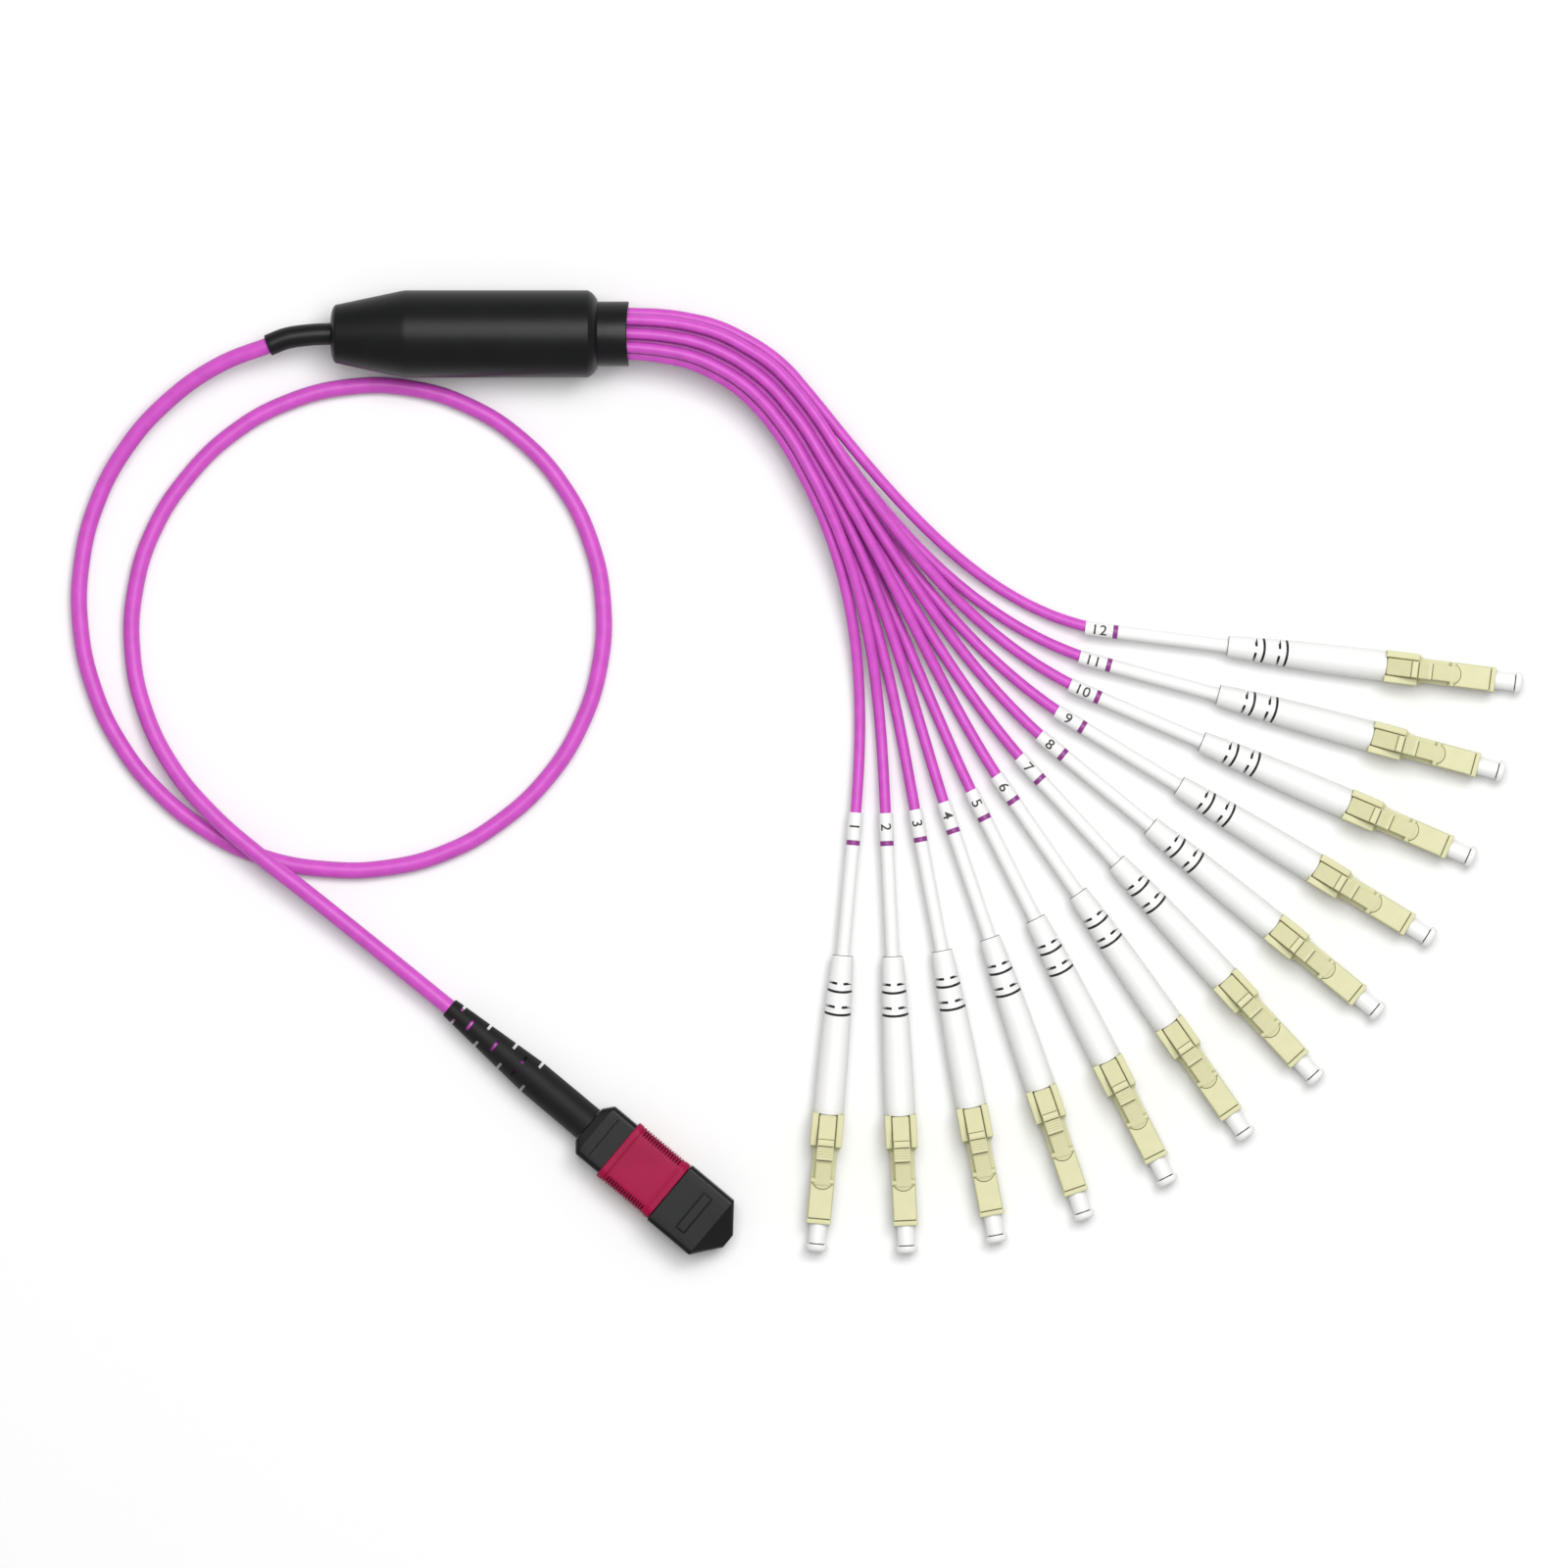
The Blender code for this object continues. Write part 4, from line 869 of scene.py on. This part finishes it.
def add_trigger(bm):
    """Trigger with a broad strip and four narrow grip ribs across it."""
    start = BODY + 0.42
    kink = 60.2
    end = 63.55
    add_plate(bm, [(start, 0.60), (start, 2.95), (kink, 5.05), (kink + 0.5, 5.20), (end, 5.20),
                   (end, 4.45), (kink + 0.4, 4.40), (start + 2.0, 2.30), (start + 1.6, 0.60)],
              (-1.5, 1.5), 0.12)
    strips = [(kink - 0.32, kink + 0.75, 5.28)]
    for index in range(4):
        rib = kink + 1.00 + 0.48 * index
        strips.append((rib, rib + 0.34, 5.34))
    for strip_start, strip_end, top in strips:
        add_block(bm, (strip_start, strip_end), (-1.44, 1.44), (4.8, top), 0.10, 0.10)


def add_seams(bm):
    """Thin dark strips of painted shade, just proud of the surface, across the trigger, at its end,
    behind the lip and round the latch, where gaps and steps lie in shadow.
    """
    for x_range, half_width, z_range in (
            ((59.70, 59.82), 1.42, (4.6, 4.90)), ((60.97, 61.17), 1.42, (4.9, 5.225)),
            ((63.57, 63.73), 1.38, (3.7, 4.01)),
            ((RAISED_END - 0.04, RAISED_END + 0.18), 2.0, (1.88, 2.06))):
        add_block(bm, x_range, (-half_width, half_width), z_range, 0.03, 0.01)
    outline = latch_arc(2.06) + latch_arc(1.90)[::-1]
    add_rings(bm, [[(x, y, z) for x, y in outline] for z in (LATCH_FOOT, 2.465)])


def lc_body_mesh():
    """Everything beige of an LC plug, and thin dark lines of painted shade just proud of it at its
    gaps and steps.
    """
    bm = bmesh.new()
    add_rear(bm)
    add_front(bm)
    add_block(bm, (RAISED, RAISED_END), (-2.1, 2.1), (1.90, 2.45), 0.22, 0.14)
    add_latch(bm)
    add_trigger(bm)
    beige_faces = len(bm.faces)
    # Thin lines of painted shade at the plug's gaps and steps
    add_seams(bm)
    bm.faces.ensure_lookup_table()
    for face in bm.faces[beige_faces:]:
        face.material_index = 1
    return finished(bm, "lc_body", ["beige", "painted_shade_line"])


def ferrule_mesh():
    """The LC ferrule, with a collar where it leaves the socket's floor."""
    start = 71.0
    bm = bmesh.new()
    add_rod(bm, (start, FRONT), 0.625, 0.12, 40)
    add_rod(bm, (start, 71.6), 1.0, 0.1, 40)
    return finished(bm, "lc_ferrule", ["ceramic"])


def lc_cap_mesh():
    """Dust cap, hollow for the ferrule, with a groove behind its flange whose floor has painted
    shade.
    """
    bore, bore_start, bore_end = 0.925, 71.75, 76.25
    groove = CAP_FLANGE - 0.22
    groove_floor = 1.35
    bm = bmesh.new()
    add_turned(bm, [(bore_end, 0.0, 0.0), (bore_end, bore, 0.0), (bore_start, bore, 0.1),
                    (bore_start, 1.60, 0.12), (groove, 1.58, 0.0), (groove, groove_floor, 0.0),
                    (CAP_FLANGE, groove_floor, 0.0), (CAP_FLANGE, 1.98, 0.08),
                    (CAP_FLANGE + 0.30, 2.05, 0.2), (CAP_END - 0.25, 1.86, 0.35),
                    (CAP_END, 1.20, 0.5), (CAP_END, 0.0, 0.0)], 64)
    # The groove's floor gets painted shade
    for face in bm.faces:
        middle = face.calc_center_median()
        between = groove + 0.01 < middle.x < CAP_FLANGE - 0.01
        if between and middle.yz.length < groove_floor + 0.05:
            face.material_index = 1
    return finished(bm, "lc_cap", ["cap", "shade"])


def marker_mesh():
    """The white sleeve that carries a leg's number."""
    bm = bmesh.new()
    add_tube(bm, (0.0, MARKER_END), 1.02, MARKER_RADIUS, (0.1, 0.1))
    return finished(bm, "marker", ["white"])


def band_mesh():
    """The narrow stretch of jacket between a leg's marker and its tail."""
    bm = bmesh.new()
    add_tube(bm, (MARKER_END + 0.01, BAND_END + 0.05), 1.0, 1.24, (0.05, 0.05))
    return finished(bm, "band", ["band"])


def number_mesh(number):
    """The leg's number printed round the top of its marker."""
    text = bpy.data.curves.new("digits", "FONT")
    text.body = str(number)
    text.size = 2.8
    text.offset = 0.035
    text.space_character = 1.12
    text.align_x = "CENTER"
    text.align_y = "CENTER"
    flat = bpy.data.objects.new("digits", text)
    bpy.context.collection.objects.link(flat)
    mesh = bpy.data.meshes.new_from_object(
        flat.evaluated_get(bpy.context.evaluated_depsgraph_get()))
    bpy.data.objects.remove(flat, do_unlink=True)
    bm = bmesh.new()
    bm.from_mesh(mesh)
    bpy.data.meshes.remove(mesh)
    bmesh.ops.triangulate(bm, faces=bm.faces[:])
    longest_edge = 0.22
    for _ in range(3):
        too_long = [edge for edge in bm.edges if edge.calc_length() > longest_edge]
        bmesh.ops.subdivide_edges(bm, edges=too_long, cuts=1)
        bmesh.ops.triangulate(bm, faces=bm.faces[:])
    lowest = min(vert.co.y for vert in bm.verts)
    highest = max(vert.co.y for vert in bm.verts)
    middle = (lowest + highest) / 2
    radius = MARKER_RADIUS + 0.012
    for vert in bm.verts:
        angle = (vert.co.y - middle) / radius
        vert.co = (vert.co.x + MARKER_END / 2, radius * math.sin(angle), radius * math.cos(angle))
    return finished(bm, f"number_{number:02d}", ["ink"])


def build_legs():
    """Every leg with its marker, number, band, tail, boot, plug, ferrule and cap."""
    boot, body, ferrule = lc_boot_mesh(), lc_body_mesh(), ferrule_mesh()
    cap, marker, band = lc_cap_mesh(), marker_mesh(), band_mesh()
    for number in range(1, LEG_COUNT + 1):
        tag = f"{number:02d}"
        route = leg_route(number)
        leg = cord_piece(f"leg_cord_{tag}", route, LEG_DIAMETER, f"leg_{tag}")
        where = plug_place(number)
        on_leg = [
            piece(f"marker_{tag}", marker, where, "cable", "white_boot"),
            piece(f"number_{tag}", number_mesh(number), where, "cable", None),
            piece(f"band_{tag}", band, where, "cable", "violet_jacket"),
            piece(f"tail_and_boot_{tag}", boot, where, "cable", "white_boot", f"lc_boot_{tag}"),
        ]
        piece(f"lc_plug_{tag}", body, where, "cable", "beige_plastic", f"lc_body_{tag}", even=True)
        piece(f"lc_ferrule_{tag}", ferrule, where, "cable", None)
        piece(f"dust_cap_{tag}", cap, where, f"lc_dust_cap_{tag}", "white_cap", f"lc_cap_{tag}")


# MPO plug


def mpo_boot_meshes():
    """The boot with its slots, and the jacket that shows through them."""
    seat, stub, bore = 33.15, 34.0, 1.35
    bm = bmesh.new()
    add_turned(bm, [(0.0, bore, 0.0), (0.0, 1.85, 0.25), (19.6, 3.30, 1.0), (seat, 3.35, 0.0),
                    (seat, 2.2, 0.0), (stub, 2.2, 0.0), (stub, bore, 0.0)], closed=True)
    boot = finished(bm, "mpo_boot", ["rubber"])
    pitch = 5.83
    outside = 5.0
    cutters = []
    for index in range(4):
        middle = 2.14 + pitch * index
        for side in (-1, 1):
            outward = sorted((side * (1.0 + 0.35 * index), side * outside))
            cutters.append(((middle - 0.26, middle + 0.26), outward, (-outside, outside)))
    for index in range(3):
        middle = 5.0 + pitch * index
        for up in (-1, 1):
            upward = sorted((up * 0.9, up * outside))
            if index < 2:
                cutters.append(((middle - 0.28, middle + 0.28), (-1.12, 1.12), upward))
                continue
            for side in (-1, 1):
                beside = sorted((side * 0.7, side * 2.2))
                cutters.append(((middle - 0.26, middle + 0.26), beside, upward))
    bm = bmesh.new()
    add_rod(bm, (1.0, 32.0), 1.5, 0.0, TUBE_TURN)
    return carved(boot, cutters), finished(bm, "mpo_core", ["violet"])


def mpo_housing_mesh():
    """Hub with a groove above and below, nose with the ferrule's opening, and key."""
    bm = bmesh.new()
    loft_rectangles(bm, [
        (MPO_HUB, 7.2, 5.2, 0.9), (MPO_HUB + 0.1, 7.7, 5.7, 1.0),
        (MPO_HUB + 1.45, 10.95, 6.45, 1.0), (MPO_HUB + 1.65, 11.15, 6.58, 1.0),
        (MPO_HUB + 1.9, 11.2, 6.6, 1.0), (MPO_NOSE, 11.2, 6.6, 1.0),
        (MPO_NOSE, 9.8, 5.4, 1.4), (MPO_NOSE_END - 0.3, 9.8, 5.4, 1.4),
        (MPO_NOSE_END - 0.1, 9.65, 5.25, 1.3), (MPO_NOSE_END, 9.4, 5.0, 1.2)])
    groove = (36.68, 36.92)
    groove_width = (-4.2, 4.2)
    hub = carved(finished(bm, "mpo_hub", ["black"]), [
        (groove, groove_width, (2.20, 4.0)), (groove, groove_width, (-4.0, -2.20)),
        ((MPO_NOSE_END - 4.0, MPO_NOSE_END + 1.0), (-3.5, 3.5), (-1.55, 1.55))])
    bm = reopened(hub)
    add_block(bm, (MPO_NOSE - 0.3, MPO_NOSE + 5.4), (-1.4, 1.4), (2.4, 3.3), 0.15, 0.12)
    return finished(bm, "mpo_hub", ["black"])


def coupling_stations():
    """Rings along the coupling: where each lies, its inset, and if it is in a grip groove."""
    stations = [(MPO_COUPLING, 0.30, False), (40.16, 0.10, False), (40.3, 0.0, False),
                (41.25, 0.0, False), (41.33, 0.20, False), (41.50, 0.20, False),
                (41.62, 0.05, False)]
    for index in range(15):
        x = 42.0 + 0.58 * index
        stations += [(x, 0.05, False), (x + 0.03, 0.05, True), (x + 0.24, 0.05, True),
                     (x + 0.27, 0.05, False)]
    return stations + [(50.97, 0.13, False), (51.07, 0.13, False), (51.15, 0.0, False),
                       (52.12, 0.0, False), (52.25, 0.08, False), (MPO_NOSE, 0.25, False)]


def mpo_coupling_mesh():
    """A sliding sleeve with a raised strip at each end and grip grooves along both sides, their
    floors in painted shade.
    """
    width, height, radius = 12.44, 7.84, 2.0
    groove_depth = 0.30
    groove_from = 4.75
    corner_steps = 8
    rings = []
    grooved = []
    for x, inset, groove in coupling_stations():
        half_width, half_height = width / 2 - inset, height / 2 - inset
        corner = radius - inset / 2
        ring = []
        for y, z in rectangle((-half_width, half_width), (-half_height, half_height), corner,
                              corner_steps):
            if groove and abs(y) > groove_from:
                centre = Vector((math.copysign(half_width - corner, y),
                                 max(min(z, half_height - corner), corner - half_height)))
                inward = (centre - Vector((y, z))).normalized() * groove_depth
                y, z = y + inward.x, z + inward.y
                grooved.append((len(rings), len(ring)))
            ring.append((x, y, z))
        rings.append(ring)
    for x in (MPO_NOSE, MPO_COUPLING):
        rings.append(box_ring(x, (-5.85, 5.85), (-3.55, 3.55), 1.65, corner_steps))
    bm = bmesh.new()
    made = add_rings(bm, rings, closed=True)
    deep = {made[row][step] for row, step in grooved}
    # Faces on the grip grooves' floors get painted shade
    for face in bm.faces:
        if all(vert in deep for vert in face.verts):
            face.material_index = 1
    return finished(bm, "mpo_coupling", ["crimson", "groove"])


def add_guide_pin(bm, y):
    """A guide pin with a rounded tip, at a place across the ferrule."""
    start, radius = 58.0, 0.35
    profile = softened([(start, 0.0, 0.0), (start, radius, 0.0),
                        (MPO_FERRULE_END + 0.3, radius, 0.25), (MPO_FERRULE_END + 0.5, 0.0, 0.0)])
    add_rings(bm, [[(x, y + py, pz) for _, py, pz in circle(x, reach, 24)]
                   for x, reach in profile])


def mpo_ferrule_mesh():
    """Ferrule block with a row of fibre ends between its two guide pins."""
    fibre_count = 12
    bm = bmesh.new()
    add_block(bm, (55.0, MPO_FERRULE_END), (-3.2, 3.2), (-1.25, 1.25), 0.12, 0.08)
    block_faces = len(bm.faces)
    for index in range(fibre_count):
        y = (index - (fibre_count - 1) / 2) * 0.25
        add_rings(bm, [[(x, y + py, pz) for _, py, pz in circle(0.0, 0.0625, 10)]
                       for x in (MPO_FERRULE_END - 0.1, MPO_FERRULE_END + 0.01)])
    fibre_faces = len(bm.faces)
    for side in (-1, 1):
        add_guide_pin(bm, side * 2.3)
    bm.faces.ensure_lookup_table()
    for face in bm.faces[block_faces:]:
        face.material_index = 1
    for face in bm.faces[fibre_faces:]:
        face.material_index = 2
    return finished(bm, "mt_ferrule", ["polymer", "glass", "steel"])


def mpo_cap_mesh():
    """Hollow cap with a four-sided tip, and on top a raised bar in a thin frame of grooves."""
    width, height = 12.84, 8.24
    full = MPO_CAP_END - 3.9
    open_end = MPO_CAP - 1.0
    bm = bmesh.new()
    loft_rectangles(bm, [
        (MPO_CAP, width - 0.3, height - 0.3, 0.8),
        (MPO_CAP + 0.08, width - 0.06, height - 0.06, 0.9),
        (MPO_CAP + 0.2, width, height, 0.9), (full - 0.1, width, height, 0.9),
        (full + 0.1, width - 0.28, height - 0.20, 0.88),
        (MPO_CAP_END - 0.12, 3.25, 1.80, 0.55), (MPO_CAP_END, 2.9, 1.5, 0.45)])
    above = (3.70, 5.0)
    shell = carved(finished(bm, "mpo_cap", ["black"]), [
        ((open_end, 61.3), (-5.2, 5.2), (-3.0, 3.0)),
        ((open_end, 58.0), (-1.7, 1.7), (0.0, 3.6)),
        ((57.1, 57.24), (-4.15, 4.15), above), ((59.20, 59.34), (-4.15, 4.15), above),
        ((57.1, 59.34), (-4.15, -4.01), above), ((57.1, 59.34), (4.01, 4.15), above)])
    bm = reopened(shell)
    add_block(bm, (57.3, 59.14), (-3.95, 3.95), (3.6, 4.60), 0.2, 0.2)
    return finished(bm, "mpo_cap", ["black"])


def build_mpo():
    """The pieces of the MPO plug. Those that ride on the trunk's end are handed back."""
    boot, core = mpo_boot_meshes()
    on_trunk = [
        piece("mpo_strain_relief", boot, MPO_PLACE, "cable", "black_rubber", "mpo_boot"),
        piece("mpo_cord_core", core, MPO_PLACE, "cable", "violet_jacket"),
        piece("mpo_plug_housing", mpo_housing_mesh(), MPO_PLACE, "cable", "black_plastic",
              "mpo_housing", even=True),
        piece("mpo_push_sleeve", mpo_coupling_mesh(), MPO_PLACE, "mpo_coupling_sleeve",
              "crimson_plastic", "mpo_coupling", even=True),
    ]
    piece("mt_ferrule", mpo_ferrule_mesh(), MPO_PLACE, "cable", "ferrule_polymer", "mpo_ferrule")
    piece("mpo_dust_cover", mpo_cap_mesh(), MPO_PLACE, "mpo_dust_cap", "black_plastic", "mpo_cap",
          even=True)
    return on_trunk


def main():
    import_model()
    build_camera()
    trunk, trunk_exit, trunk_length = build_trunk()
    build_legs()
    build_sleeve()
    build_fanout()
    on_trunk = build_mpo()
    build_studio()
    bpy.context.view_layer.update()


main()
